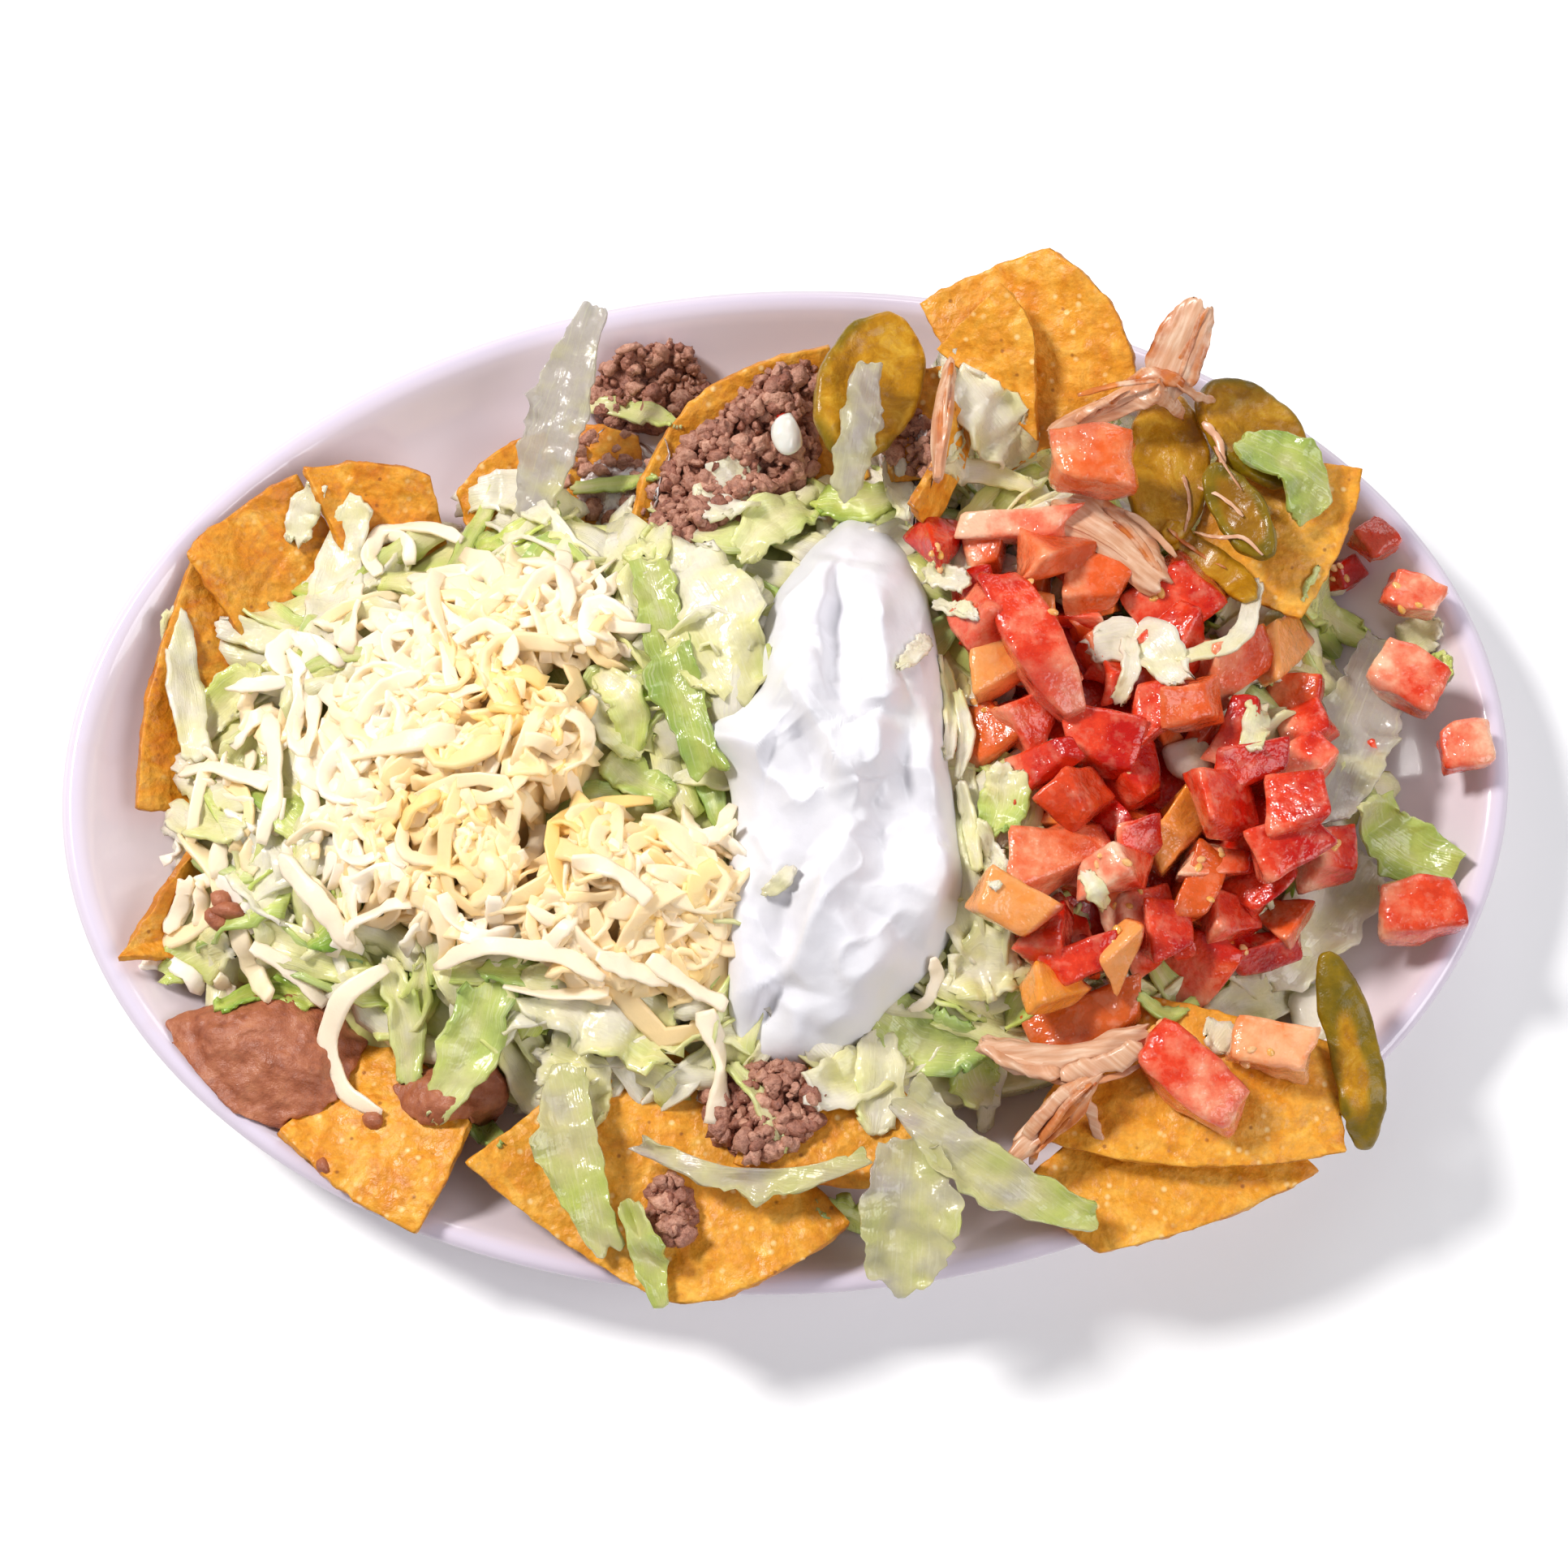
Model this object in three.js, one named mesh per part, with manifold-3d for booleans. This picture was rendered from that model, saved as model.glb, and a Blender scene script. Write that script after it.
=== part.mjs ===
// A platter of loaded nachos: an oval plate with tortilla chips round and under a mound of shredded lettuce,
// refried beans, ground beef, shredded cheese, sour cream, diced tomato, jalapeno slices and pulled chicken.
// Units are millimetres, +Z is up, +X runs along the plate, and the origin is the centre of the plate's foot.

import * as THREE from "three";
import { mergeVertices } from "three/addons/utils/BufferGeometryUtils.js";
import Module from "manifold-3d";

const wasm = await Module();
wasm.setup();

// ---------------------------------------------------------------- driving dimensions

const PLATE = { halfLength: 159, halfWidth: 114.5, sides: 44 };
const GAP = 0.35; // clearance kept between neighbours
const CHIP_THICK = 1.9;
const LEAF_THICK = 1.0;
const JALAPENO_THICK = 4.5;
const DIE = 12.5; // edge of a tomato die
const MOUND = { edge: 15, peak: 45, shoulder: [66, 58], shoulderRise: 15, shoulderReach: 26 };
const CHEESE_DEPTH = 8;
const CREAM_DEPTH = 15;
const SALSA_DEPTH = 4;
const CRUMB = 3.4; // radius of a crumb of beef
const CRUMB_STEP = 9;
const CHEESE_SHRED = { length: 26, width: 4.2, thick: 3, step: 17 };
const LETTUCE_SHRED = { length: 30, width: 6.5, thick: 1.6, step: 20 };

// ---------------------------------------------------------------- small tools

// A repeatable random number from 0 to 1.
function makeRandom(seed) {
  let state = seed;
  return () => {
    state = (state + 0x6d2b79f5) | 0;
    let t = Math.imul(state ^ (state >>> 15), 1 | state);
    t = (t + Math.imul(t ^ (t >>> 7), 61 | t)) ^ t;
    return ((t ^ (t >>> 14)) >>> 0) / 4294967296;
  };
}

const clamp = (v, low, high) => Math.min(high, Math.max(low, v));
const mix = (a, b, t) => a + (b - a) * t;
const vec = (p) => new THREE.Vector3(...p);
const finish = (color, roughness) => new THREE.MeshStandardMaterial({ color, roughness, metalness: 0 });

// A closed geometry from points and triangles, turned so that its faces point out.
function closedGeometry(points, faces) {
  let volume = 0;
  for (const [a, b, c] of faces) volume += points[a].dot(points[b].clone().cross(points[c]));
  const order = volume < 0 ? [0, 2, 1] : [0, 1, 2];
  const geometry = new THREE.BufferGeometry().setFromPoints(points);
  return geometry.setIndex(faces.flatMap((face) => order.map((k) => face[k])));
}

// Rings of equal length, skinned one to the next, with a fan of triangles over the first and the last.
function skinRings(rings) {
  const sides = rings[0].length;
  const points = rings.flat();
  const faces = [];
  for (let r = 0; r + 1 < rings.length; r++) {
    for (let i = 0; i < sides; i++) {
      const [a, b] = [r * sides + i, r * sides + ((i + 1) % sides)];
      faces.push([a, b, b + sides], [a, b + sides, a + sides]);
    }
  }
  for (const start of [0, (rings.length - 1) * sides]) {
    for (let i = 1; i + 1 < sides; i++) {
      const [a, b] = [start + i, start + i + 1];
      faces.push(start === 0 ? [start, b, a] : [start, a, b]);
    }
  }
  return closedGeometry(points, faces);
}

// A thin solid from a grid of points, both faces split into triangles alike. grow pushes its skin outward.
function thickSheet(grid, thick, grow = 0) {
  const [rows, columns] = [grid.length, grid[0].length];
  const reach = thick / 2 + grow;
  const normals = grid.map((row, r) =>
    row.map((_, c) => {
      const along = grid[Math.min(r + 1, rows - 1)][c].clone().sub(grid[Math.max(r - 1, 0)][c]);
      const across = row[Math.min(c + 1, columns - 1)].clone().sub(row[Math.max(c - 1, 0)]);
      return across.cross(along).normalize();
    }),
  );
  const spread = grid.map((row, r) =>
    row.map((p, c) => {
      const inner = grid[clamp(r, 1, rows - 2)][clamp(c, 1, columns - 2)];
      return p.clone().addScaledVector(p.clone().sub(inner).normalize(), 1.4 * grow);
    }),
  );
  const side = (sign) =>
    spread.flatMap((row, r) => row.map((p, c) => p.clone().addScaledVector(normals[r][c], sign * reach)));
  const points = [...side(1), ...side(-1)];
  const below = rows * columns;
  const at = (r, c) => r * columns + c;
  const faces = [];
  for (let r = 0; r + 1 < rows; r++) {
    for (let c = 0; c + 1 < columns; c++) {
      const [p, q, s, t] = [at(r, c), at(r, c + 1), at(r + 1, c + 1), at(r + 1, c)];
      faces.push([p, q, s], [p, s, t], [p + below, s + below, q + below], [p + below, t + below, s + below]);
    }
  }
  const edge = [];
  for (let c = 0; c < columns - 1; c++) edge.push(at(0, c));
  for (let r = 0; r < rows - 1; r++) edge.push(at(r, columns - 1));
  for (let c = columns - 1; c > 0; c--) edge.push(at(rows - 1, c));
  for (let r = rows - 1; r > 0; r--) edge.push(at(r, 0));
  edge.forEach((p, i) => {
    const q = edge[(i + 1) % edge.length];
    faces.push([p, p + below, q + below], [p, q + below, q]);
  });
  return closedGeometry(points, faces);
}

// A closed three.js geometry as a manifold-3d solid.
function toSolid(geometry) {
  const bare = new THREE.BufferGeometry().setAttribute("position", geometry.getAttribute("position").clone());
  bare.setIndex(geometry.index);
  const merged = mergeVertices(bare, 1e-4);
  const vertProperties = new Float32Array(merged.getAttribute("position").array);
  const triVerts = new Uint32Array(merged.index.array);
  return new wasm.Manifold(new wasm.Mesh({ numProp: 3, vertProperties, triVerts }));
}

// A manifold-3d solid as a three.js geometry, without its loose scraps.
function toGeometry(solid) {
  const body = solid.decompose().sort((a, b) => b.volume() - a.volume())[0];
  const mesh = body.getMesh();
  const geometry = new THREE.BufferGeometry();
  geometry.setAttribute("position", new THREE.BufferAttribute(new Float32Array(mesh.vertProperties), 3));
  return geometry.setIndex(new THREE.BufferAttribute(new Uint32Array(mesh.triVerts), 1));
}

// ---------------------------------------------------------------- what is already on the plate

// The top of everything laid down so far, in cells of 1 mm, so that the next piece can rest on it.
const heights = {
  reachX: 170,
  reachY: 130,
  cells: new Float32Array(341 * 261).fill(0),
  index(x, y) {
    const i = clamp(Math.round(x) + this.reachX, 0, 2 * this.reachX);
    const j = clamp(Math.round(y) + this.reachY, 0, 2 * this.reachY);
    return j * (2 * this.reachX + 1) + i;
  },
  near(x, y, radius) {
    let top = 0;
    for (let dx = -radius; dx <= radius; dx++) {
      for (let dy = -radius; dy <= radius; dy++) {
        if (dx * dx + dy * dy > radius * radius + 0.5) continue;
        top = Math.max(top, this.cells[this.index(x + dx, y + dy)]);
      }
    }
    return top;
  },
  raise(x, y, z) {
    const k = this.index(x, y);
    this.cells[k] = Math.max(this.cells[k], z);
  },
  add(geometry) {
    const position = geometry.getAttribute("position");
    const corners = [new THREE.Vector3(), new THREE.Vector3(), new THREE.Vector3()];
    for (let k = 0; k < geometry.index.count; k += 3) {
      corners.forEach((p, n) => p.fromBufferAttribute(position, geometry.index.getX(k + n)));
      this.addTriangle(...corners);
    }
  },
  addTriangle(a, b, c) {
    const area = (b.x - a.x) * (c.y - a.y) - (c.x - a.x) * (b.y - a.y);
    for (const p of [a, b, c]) this.raise(p.x, p.y, p.z);
    if (Math.abs(area) < 1e-9) return;
    for (let x = Math.ceil(Math.min(a.x, b.x, c.x)); x <= Math.max(a.x, b.x, c.x); x++) {
      for (let y = Math.ceil(Math.min(a.y, b.y, c.y)); y <= Math.max(a.y, b.y, c.y); y++) {
        const u = ((b.x - x) * (c.y - y) - (c.x - x) * (b.y - y)) / area;
        const v = ((c.x - x) * (a.y - y) - (a.x - x) * (c.y - y)) / area;
        if (u >= 0 && v >= 0 && u + v <= 1) this.raise(x, y, u * a.z + v * b.z + (1 - u - v) * c.z);
      }
    }
  },
};

const nachos = new THREE.Group();
const obstacles = []; // what later pieces keep clear of: solids grown by the clearance, with their boxes

function addObstacle(owner, solid) {
  obstacles.push({ owner, solid, box: solid.boundingBox() });
}

// The obstacles of other owners that a solid runs into.
function inTheWay(solid, owner) {
  const box = solid.boundingBox();
  const apart = (other) => [0, 1, 2].some((k) => other.min[k] > box.max[k] || other.max[k] < box.min[k]);
  return obstacles
    .filter((obstacle) => obstacle.owner !== owner && !apart(obstacle.box))
    .filter((obstacle) => solid.intersect(obstacle.solid).volume() > 1e-6);
}

function show(name, geometry, material) {
  const mesh = new THREE.Mesh(geometry, material);
  mesh.name = name;
  nachos.add(mesh);
}

// Cuts a piece clear of all that was laid before it. build(grow) gives its geometry.
function fit(name, build) {
  let solid = toSolid(build(0));
  for (const obstacle of inTheWay(solid, name)) solid = solid.subtract(obstacle.solid);
  addObstacle(name, toSolid(build(GAP)));
  heights.add(toGeometry(solid));
  return solid;
}

function lay(name, build, material) {
  show(name, toGeometry(fit(name, build)), material);
}

// How far a rigid geometry has to rise to clear what lies under it.
function settleLift(geometry) {
  const position = geometry.getAttribute("position");
  let lift = -1e9;
  for (let i = 0; i < position.count; i++) {
    const [x, y, z] = [position.getX(i), position.getY(i), position.getZ(i)];
    lift = Math.max(lift, heights.near(x, y, 1) + GAP - z);
  }
  return lift;
}

// ---------------------------------------------------------------- plate

const glaze = finish(0xe6dfe6, 0.15);

// Sections of the plate as [inset from the rim, height]: its upper side from the well out, its under side in.
const PLATE_TOP = [[42, 5.2], [27, 8], [14, 14.2], [6, 21.6], [4, 23.6], [2.2, 24], [0.7, 23.4]];
const PLATE_UNDER = [[0, 22], [3, 18], [11, 11], [25, 5], [42, 2], [46, 0], [52, 0], [54, 1.6]];

function plate(grow) {
  const ring = (inset, z) =>
    Array.from({ length: PLATE.sides }, (_, i) => {
      const angle = (2 * Math.PI * i) / PLATE.sides;
      const [a, b] = [PLATE.halfLength - inset, PLATE.halfWidth - inset];
      return new THREE.Vector3(a * Math.cos(angle), b * Math.sin(angle), z);
    });
  const upper = PLATE_TOP.map(([inset, z]) => ring(inset + grow, z + grow));
  const under = PLATE_UNDER.map(([inset, z]) => ring(inset - grow, z - grow));
  return skinRings([...upper, ...under]);
}

lay("plate", plate, glaze);
const bareCells = heights.cells.slice();
const plateTop = (x, y) => bareCells[heights.index(x, y)];

// ---------------------------------------------------------------- tortilla chips

const corn = finish(0xe09a32, 0.6);
const CHIP_STEPS = 5;

// A chip on four corners. bulge bows its edges out, and cup arches it over its width and length.
function chip({ corners, bulge = [0, 0, 0, 0], cup = [0, 0] }) {
  const [a, b, c, d] = corners.map(vec);
  const middle = a.clone().add(b).add(c).add(d).multiplyScalar(0.25);
  const up = c.clone().sub(a).cross(d.clone().sub(b)).normalize();
  if (up.z < 0) up.negate();
  const outward = (p, q) => p.clone().add(q).multiplyScalar(0.5).sub(middle).normalize();
  const outs = [outward(a, b), outward(b, c), outward(c, d), outward(d, a)];
  const grid = [];
  for (let r = 0; r <= CHIP_STEPS; r++) {
    const v = r / CHIP_STEPS;
    const row = [];
    for (let s = 0; s <= CHIP_STEPS; s++) {
      const u = s / CHIP_STEPS;
      const [bowU, bowV] = [4 * u * (1 - u), 4 * v * (1 - v)];
      const p = a.clone().lerp(b, u).lerp(d.clone().lerp(c, u), v);
      const bows = [(1 - v) * bowU, u * bowV, v * bowU, (1 - u) * bowV];
      bows.forEach((bow, k) => p.addScaledVector(outs[k], bow * bulge[k]));
      p.addScaledVector(up, cup[0] * bowU + cup[1] * bowV);
      p.z = Math.max(p.z, heights.near(p.x, p.y, 4) + GAP + CHIP_THICK);
      row.push(p);
    }
    grid.push(row);
  }
  return grid;
}

// The chips from the lowest up: corners, then how far each edge bows out and how the chip is cupped.
const CHIPS = {
  chip_left_tall: {
    corners: [[-143, -2, 20], [-118, -2, 9], [-104, 44, 10], [-129, 57, 22]],
    bulge: [0, 0, 0, 4],
    cup: [-2, 1],
  },
  chip_left_upper: {
    corners: [[-131, 54, 25], [-115, 28, 14], [-92, 48, 14], [-107, 73, 26]],
    bulge: [0, 0, 0, 2],
    cup: [-2, 0],
  },
  chip_left_top: {
    corners: [[-105, 73, 26], [-95, 50, 16], [-74, 56, 14], [-77, 72, 24]],
    bulge: [0, 0, 0, 3],
    cup: [-1, 1],
  },
  chip_left_small: {
    corners: [[-145, -37, 24], [-130, -36, 9], [-119, -14, 9], [-129, -12, 24]],
    bulge: [0, 0, 0, 1],
  },
  chip_back_left: {
    corners: [[-72, 71, 15], [-66, 50, 9], [-44, 56, 10], [-51, 83, 20]],
    bulge: [0, 0, 0, 3],
    cup: [0, 1],
  },
  chip_back_mid: {
    corners: [[-45, 84, 20], [-48, 60, 13], [-29, 58, 14], [-30, 81, 20]],
    bulge: [0, 0, 0, 1],
    cup: [0, 1],
  },
  chip_lower_left: {
    corners: [[-110, -76, 22], [-81, -99, 27], [-69, -76, 28], [-88, -52, 16]],
    bulge: [2, 1, 0, 0],
    cup: [1, 1],
  },
  chip_bottom: {
    corners: [[-70, -85, 29], [-27, -117, 30], [10, -101, 30], [-30, -55, 28]],
    bulge: [2, 3, 0, 0],
    cup: [-1, 1],
  },
  chip_bottom_back: {
    corners: [[-14, -88, 34], [14, -95, 35], [29, -82, 34], [4, -56, 30]],
    bulge: [1, 2, 0, 0],
    cup: [1, 0],
  },
  chip_right_lower: {
    corners: [[44, -96, 26], [61, -109, 29], [108, -94, 29], [82, -64, 24]],
    bulge: [0, 3, 0, 0],
    cup: [1, 1],
  },
  chip_right_upper: {
    corners: [[47, -84, 32], [113, -91, 34], [112, -68, 34], [68, -54, 30]],
    bulge: [6, 0, 0, 0],
    cup: [3, 1],
  },
  chip_shell: {
    corners: [[14, 92, 41], [-33, 52, 31], [-8, 44, 23], [22, 66, 27]],
    bulge: [12, 0, 0, 0],
    cup: [-4, -2],
  },
  chip_top_small: {
    corners: [[24, 82, 44], [40, 84, 46], [44, 60, 40], [26, 60, 38]],
    cup: [1, 0],
  },
  chip_high_back: {
    corners: [[34, 97, 50], [62, 104, 61], [80, 74, 52], [52, 60, 42]],
    bulge: [1, 5, 0, 0],
    cup: [-1, 1],
  },
  chip_high_front: {
    corners: [[37, 85, 52], [51, 95, 63], [58, 84, 60], [58, 64, 48]],
    bulge: [0, 1, 0, 0],
    cup: [1, 0],
  },
  chip_edge_on: {
    corners: [[39, 71, 57], [29, 48, 55], [33, 46, 44], [43, 67, 46]],
    cup: [2, 0],
  },
  chip_right: {
    corners: [[98, 62, 42], [129, 57, 42], [113, 24, 39], [88, 34, 40]],
    bulge: [0, 2, 0, 0],
    cup: [1, 1],
  },
};

for (const [name, form] of Object.entries(CHIPS)) {
  const grid = chip(form);
  lay(name, (grow) => thickSheet(grid, CHIP_THICK, grow), corn);
}

// ---------------------------------------------------------------- heaps

// A heap over a closed outline: rings from its middle out along its top, and back in along its bed.
function heap({ outline, top, bed, sides = 32, rings = 6, bedRings = 3, hang = 1.5 }, grow = 0) {
  const stops = outline.map(([x, y]) => new THREE.Vector3(x, y, 0));
  const curve = new THREE.CatmullRomCurve3(stops, true, "centripetal");
  const rim = curve.getSpacedPoints(sides).slice(0, sides);
  const middle = new THREE.Vector3();
  rim.forEach((p) => middle.addScaledVector(p, 1 / sides));
  const ring = (share, height) =>
    rim.map((p) => {
      const q = middle.clone().lerp(p, share);
      if (share === 1) q.addScaledVector(p.clone().sub(middle).normalize(), grow);
      q.z = height(q.x, q.y, share);
      return q;
    });
  const under = (x, y) => bed(x, y) - grow;
  const over = (x, y, share) => Math.max(top(x, y, share), bed(x, y) + hang) + grow;
  const tops = Array.from({ length: rings }, (_, k) => ring(((k + 1) / rings) ** 0.8, over));
  const beds = Array.from({ length: bedRings }, (_, k) => ring(1 - k / bedRings, under));
  return skinRings([...tops, ...beds]);
}

// The rounded fall of a heap from its middle, at 0, to its edge, at 1.
const dome = (share, power = 2.2) => Math.max(1 - share ** power, 0) ** 0.7;

const MOUND_OUTLINE = [
  [-135, -5], [-129, 28], [-114, 52], [-90, 61], [-56, 64], [-30, 60], [-5, 68], [30, 70], [63, 72], [94, 60],
  [118, 42], [131, 15], [130, -12], [122, -40], [104, -62], [72, -70], [34, -76], [-6, -80], [-45, -78],
  [-76, -68], [-97, -58], [-105, -46], [-128, -40], [-136, -22],
];
const MOUND_MIDDLE = [-4, -5];

// The lettuce mound's top, which the cheese, the cream and the tomato follow.
function moundTop(x, y) {
  const share = Math.hypot((x - MOUND_MIDDLE[0]) / 136, (y - MOUND_MIDDLE[1]) / 78);
  const [dx, dy] = [x - MOUND.shoulder[0], y - MOUND.shoulder[1]];
  const shoulder = MOUND.shoulderRise * Math.exp(-(dx * dx + dy * dy) / MOUND.shoulderReach ** 2);
  const lumps = Math.sin(x / 11 + 1) * Math.cos(y / 9) + Math.sin((x + y) / 15);
  return mix(MOUND.edge, MOUND.peak, dome(Math.min(share, 1))) + shoulder + 0.8 * lumps;
}

const mound = {
  outline: MOUND_OUTLINE,
  top: moundTop,
  bed: (x, y) => plateTop(x, y) + 0.6,
  sides: 34,
  rings: 6,
  bedRings: 3,
};

// Refried beans, spread up to the rim.
const bean = finish(0x9a5f4c, 0.45);
const beans = {
  outline: [
    [-135, -50], [-124, -46], [-108, -44], [-96, -50], [-91, -62], [-98, -74], [-115, -74], [-127, -64],
  ],
  top: (x, y, share) => 20 + 9 * dome(share) + 0.8 * Math.sin(x / 5 + y / 8),
  bed: (x, y) => plateTop(x, y) + 0.6,
  sides: 20,
  rings: 4,
  bedRings: 2,
};
lay("refried_beans", (grow) => heap(beans, grow), bean);

// The heaps' cores, each resting on the mound and cut clear of what came before it.
const lettuce = finish(0xc9d99a, 0.35);
const curd = finish(0xf4e8c0, 0.45);
const cream = finish(0xf7f4f2, 0.3);
const tomato = finish(0xdc4330, 0.2);

const cheese = {
  outline: [
    [-99, -10], [-96, 15], [-86, 36], [-70, 48], [-49, 47], [-32, 34], [-31, 8], [-20, -6], [-12, -22],
    [-13, -46], [-22, -56], [-38, -53], [-57, -44], [-79, -41], [-93, -30],
  ],
  top: (x, y, share) => moundTop(x, y) + 2 + CHEESE_DEPTH * dome(share),
  bed: (x, y) => moundTop(x, y) - 4,
  sides: 26,
  rings: 5,
  bedRings: 2,
};

// Soft ridges along the cream, in a gentle S.
const creamRidges = (x, y) =>
  2.2 * Math.sin(x / 3.6 + Math.sin(y / 13) * 1.6 + 0.8) + 1.4 * Math.sin(y / 9 + x / 14);
const dollop = {
  outline: [
    [10, 45], [-3, 27], [-5, 7], [-15, -4], [-12, -17], [-13, -31], [-10, -48], [-12, -62], [-3, -71],
    [13, -68], [25, -53], [36, -30], [35, -1], [32, 31], [19, 48],
  ],
  top: (x, y, share) => moundTop(x, y) + 3 + CREAM_DEPTH * dome(share) + creamRidges(x, y) * dome(share, 4),
  bed: (x, y) => moundTop(x, y) - 4,
  sides: 30,
  rings: 7,
  bedRings: 2,
};

const salsa = {
  outline: [
    [34, 38], [43, 50], [58, 50], [73, 37], [92, 30], [104, 17], [112, -2], [112, -24], [108, -41], [95, -52],
    [76, -60], [60, -66], [49, -58], [44, -38], [50, -22], [41, -5], [43, 17],
  ],
  top: (x, y, share) => moundTop(x, y) + 3 + SALSA_DEPTH * dome(share),
  bed: (x, y) => moundTop(x, y) - 4,
  sides: 26,
  rings: 4,
  bedRings: 2,
};

const HEAPS = { lettuce: mound, cheese, sour_cream: dollop, diced_tomato: salsa };
const cores = {};
for (const [name, form] of Object.entries(HEAPS)) cores[name] = fit(name, (grow) => heap(form, grow));
show("sour_cream", toGeometry(cores.sour_cream), cream);

// ---------------------------------------------------------------- beef and beans in clumps

const mince = finish(0x6e4a3e, 0.55);

// A clump that lies over whatever is under it.
const clump = ({ outline, depth, sides = 11 }) => ({
  outline,
  top: (x, y, share) => heights.near(x, y, 3) + 1 + depth * dome(share) + 0.6 * Math.sin(x / 2 + y / 3),
  bed: (x, y) => heights.near(x, y, 1) - 0.8,
  sides,
  rings: 3,
  bedRings: 2,
});

// Places spread evenly over an outline: one in each square of a given step, off its middle by a random draw.
function spotsIn(outline, step, random) {
  const inside = (x, y) =>
    outline.reduce((odd, [x1, y1], i) => {
      const [x2, y2] = outline[(i + 1) % outline.length];
      return y1 > y !== y2 > y && x < x1 + ((y - y1) * (x2 - x1)) / (y2 - y1) ? !odd : odd;
    }, false);
  const spots = [];
  const range = (k) => [Math.min(...outline.map((p) => p[k])), Math.max(...outline.map((p) => p[k]))];
  const [[lowX, highX], [lowY, highY]] = [range(0), range(1)];
  for (let x = lowX + step / 2; x < highX + step / 2; x += step) {
    for (let y = lowY + step / 2; y < highY + step / 2; y += step) {
      const [px, py] = [x + 0.5 * step * (random() - 0.5), y + 0.5 * step * (random() - 0.5)];
      if (inside(px, py)) spots.push([px, py]);
    }
  }
  return spots;
}

// Joins pieces to a core at the given spots. Each has to stay clear of all else and be rooted in the core.
function joinPieces(owner, core, spots, makePiece) {
  let solid = core;
  for (const spot of spots) {
    for (let tries = 0; tries < 6; tries++) {
      const build = makePiece(...spot);
      const piece = toSolid(build(0));
      if (inTheWay(piece, owner).length > 0) continue;
      if (core.intersect(piece).volume() < 0.05 * piece.volume()) continue;
      solid = solid.add(piece);
      addObstacle(owner, toSolid(build(GAP)));
      break;
    }
  }
  return solid;
}

// A lump of few faces, of a given radius.
function crumb(x, y, z, radius, random) {
  const turn = new THREE.Euler(6 * random(), 6 * random(), 0);
  const scale = new THREE.Vector3(0.9 + 0.4 * random(), 0.9 + 0.3 * random(), 0.8);
  return (grow) => {
    const geometry = new THREE.IcosahedronGeometry(radius + grow, 0);
    geometry.deleteAttribute("normal");
    geometry.deleteAttribute("uv");
    const merged = mergeVertices(geometry, 1e-3);
    merged.scale(scale.x, scale.y, scale.z).applyMatrix4(new THREE.Matrix4().makeRotationFromEuler(turn));
    return merged.translate(x, y, z);
  };
}

const CLUMPS = {
  beef_on_plate: {
    outline: [[-42, 93], [-38, 99], [-30, 103], [-20, 103], [-15, 97], [-15, 90], [-23, 86], [-38, 87]],
    depth: 4, seed: 11,
  },
  beef_in_shell: {
    outline: [[-27, 50], [-22, 70], [-8, 80], [2, 90], [11, 88], [10, 68], [-2, 58], [-14, 47]],
    depth: 7, seed: 12,
  },
  beef_at_front: {
    outline: [[-19, -70], [-6, -67], [6, -72], [3, -84], [-10, -88], [-20, -80]],
    depth: 4, seed: 13,
  },
  beef_on_chip: {
    outline: [[-32, -92], [-26, -90], [-22, -97], [-25, -105], [-32, -100]],
    depth: 3, seed: 14,
  },
};

for (const [name, form] of Object.entries(CLUMPS)) {
  const shape = clump(form);
  const core = fit(name, (grow) => heap(shape, grow));
  const random = makeRandom(form.seed);
  const solid = joinPieces(name, core, spotsIn(form.outline, CRUMB_STEP, random), (x, y) =>
    crumb(x, y, heights.near(x, y, 0) + 1.2, CRUMB * (0.8 + 0.4 * random()), random),
  );
  show(name, toGeometry(solid), mince);
  heights.add(toGeometry(solid));
}

const SMALL_BEANS_OUTLINE = [[-86, -67], [-76, -63], [-62, -64], [-63, -73], [-73, -76], [-83, -74]];
const smallBeanShape = clump({ outline: SMALL_BEANS_OUTLINE, depth: 4 });
lay("refried_beans_small", (grow) => heap(smallBeanShape, grow), bean);

// ---------------------------------------------------------------- toppings

// A geometry turned and put over a place, resting on what is under it.
function settled(make, { at, yaw = 0, pitch = 0, roll = 0 }) {
  const turn = new THREE.Matrix4().makeRotationFromEuler(new THREE.Euler(roll, pitch, yaw, "ZYX"));
  const place = (grow) => make(grow).applyMatrix4(turn).translate(at[0], at[1], 0);
  const lift = settleLift(place(0));
  return (grow) => place(grow).translate(0, 0, lift);
}

// A lens of a pepper: a rounded oval slice, thinner in its middle.
function slice(length, width) {
  const sides = 14;
  return (grow) => {
    const oval = (share, z) =>
      Array.from({ length: sides }, (_, i) => {
        const angle = (2 * Math.PI * i) / sides;
        const [a, b] = [(length / 2) * share + grow, (width / 2) * share + grow];
        return new THREE.Vector3(a * Math.cos(angle), b * Math.sin(angle), z);
      });
    const half = JALAPENO_THICK / 2;
    const [lip, hollow] = [half + grow, 0.55 * half + grow];
    return skinRings([oval(0.6, hollow), oval(0.93, lip), oval(1, 0), oval(0.93, -lip), oval(0.6, -hollow)]);
  };
}

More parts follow.
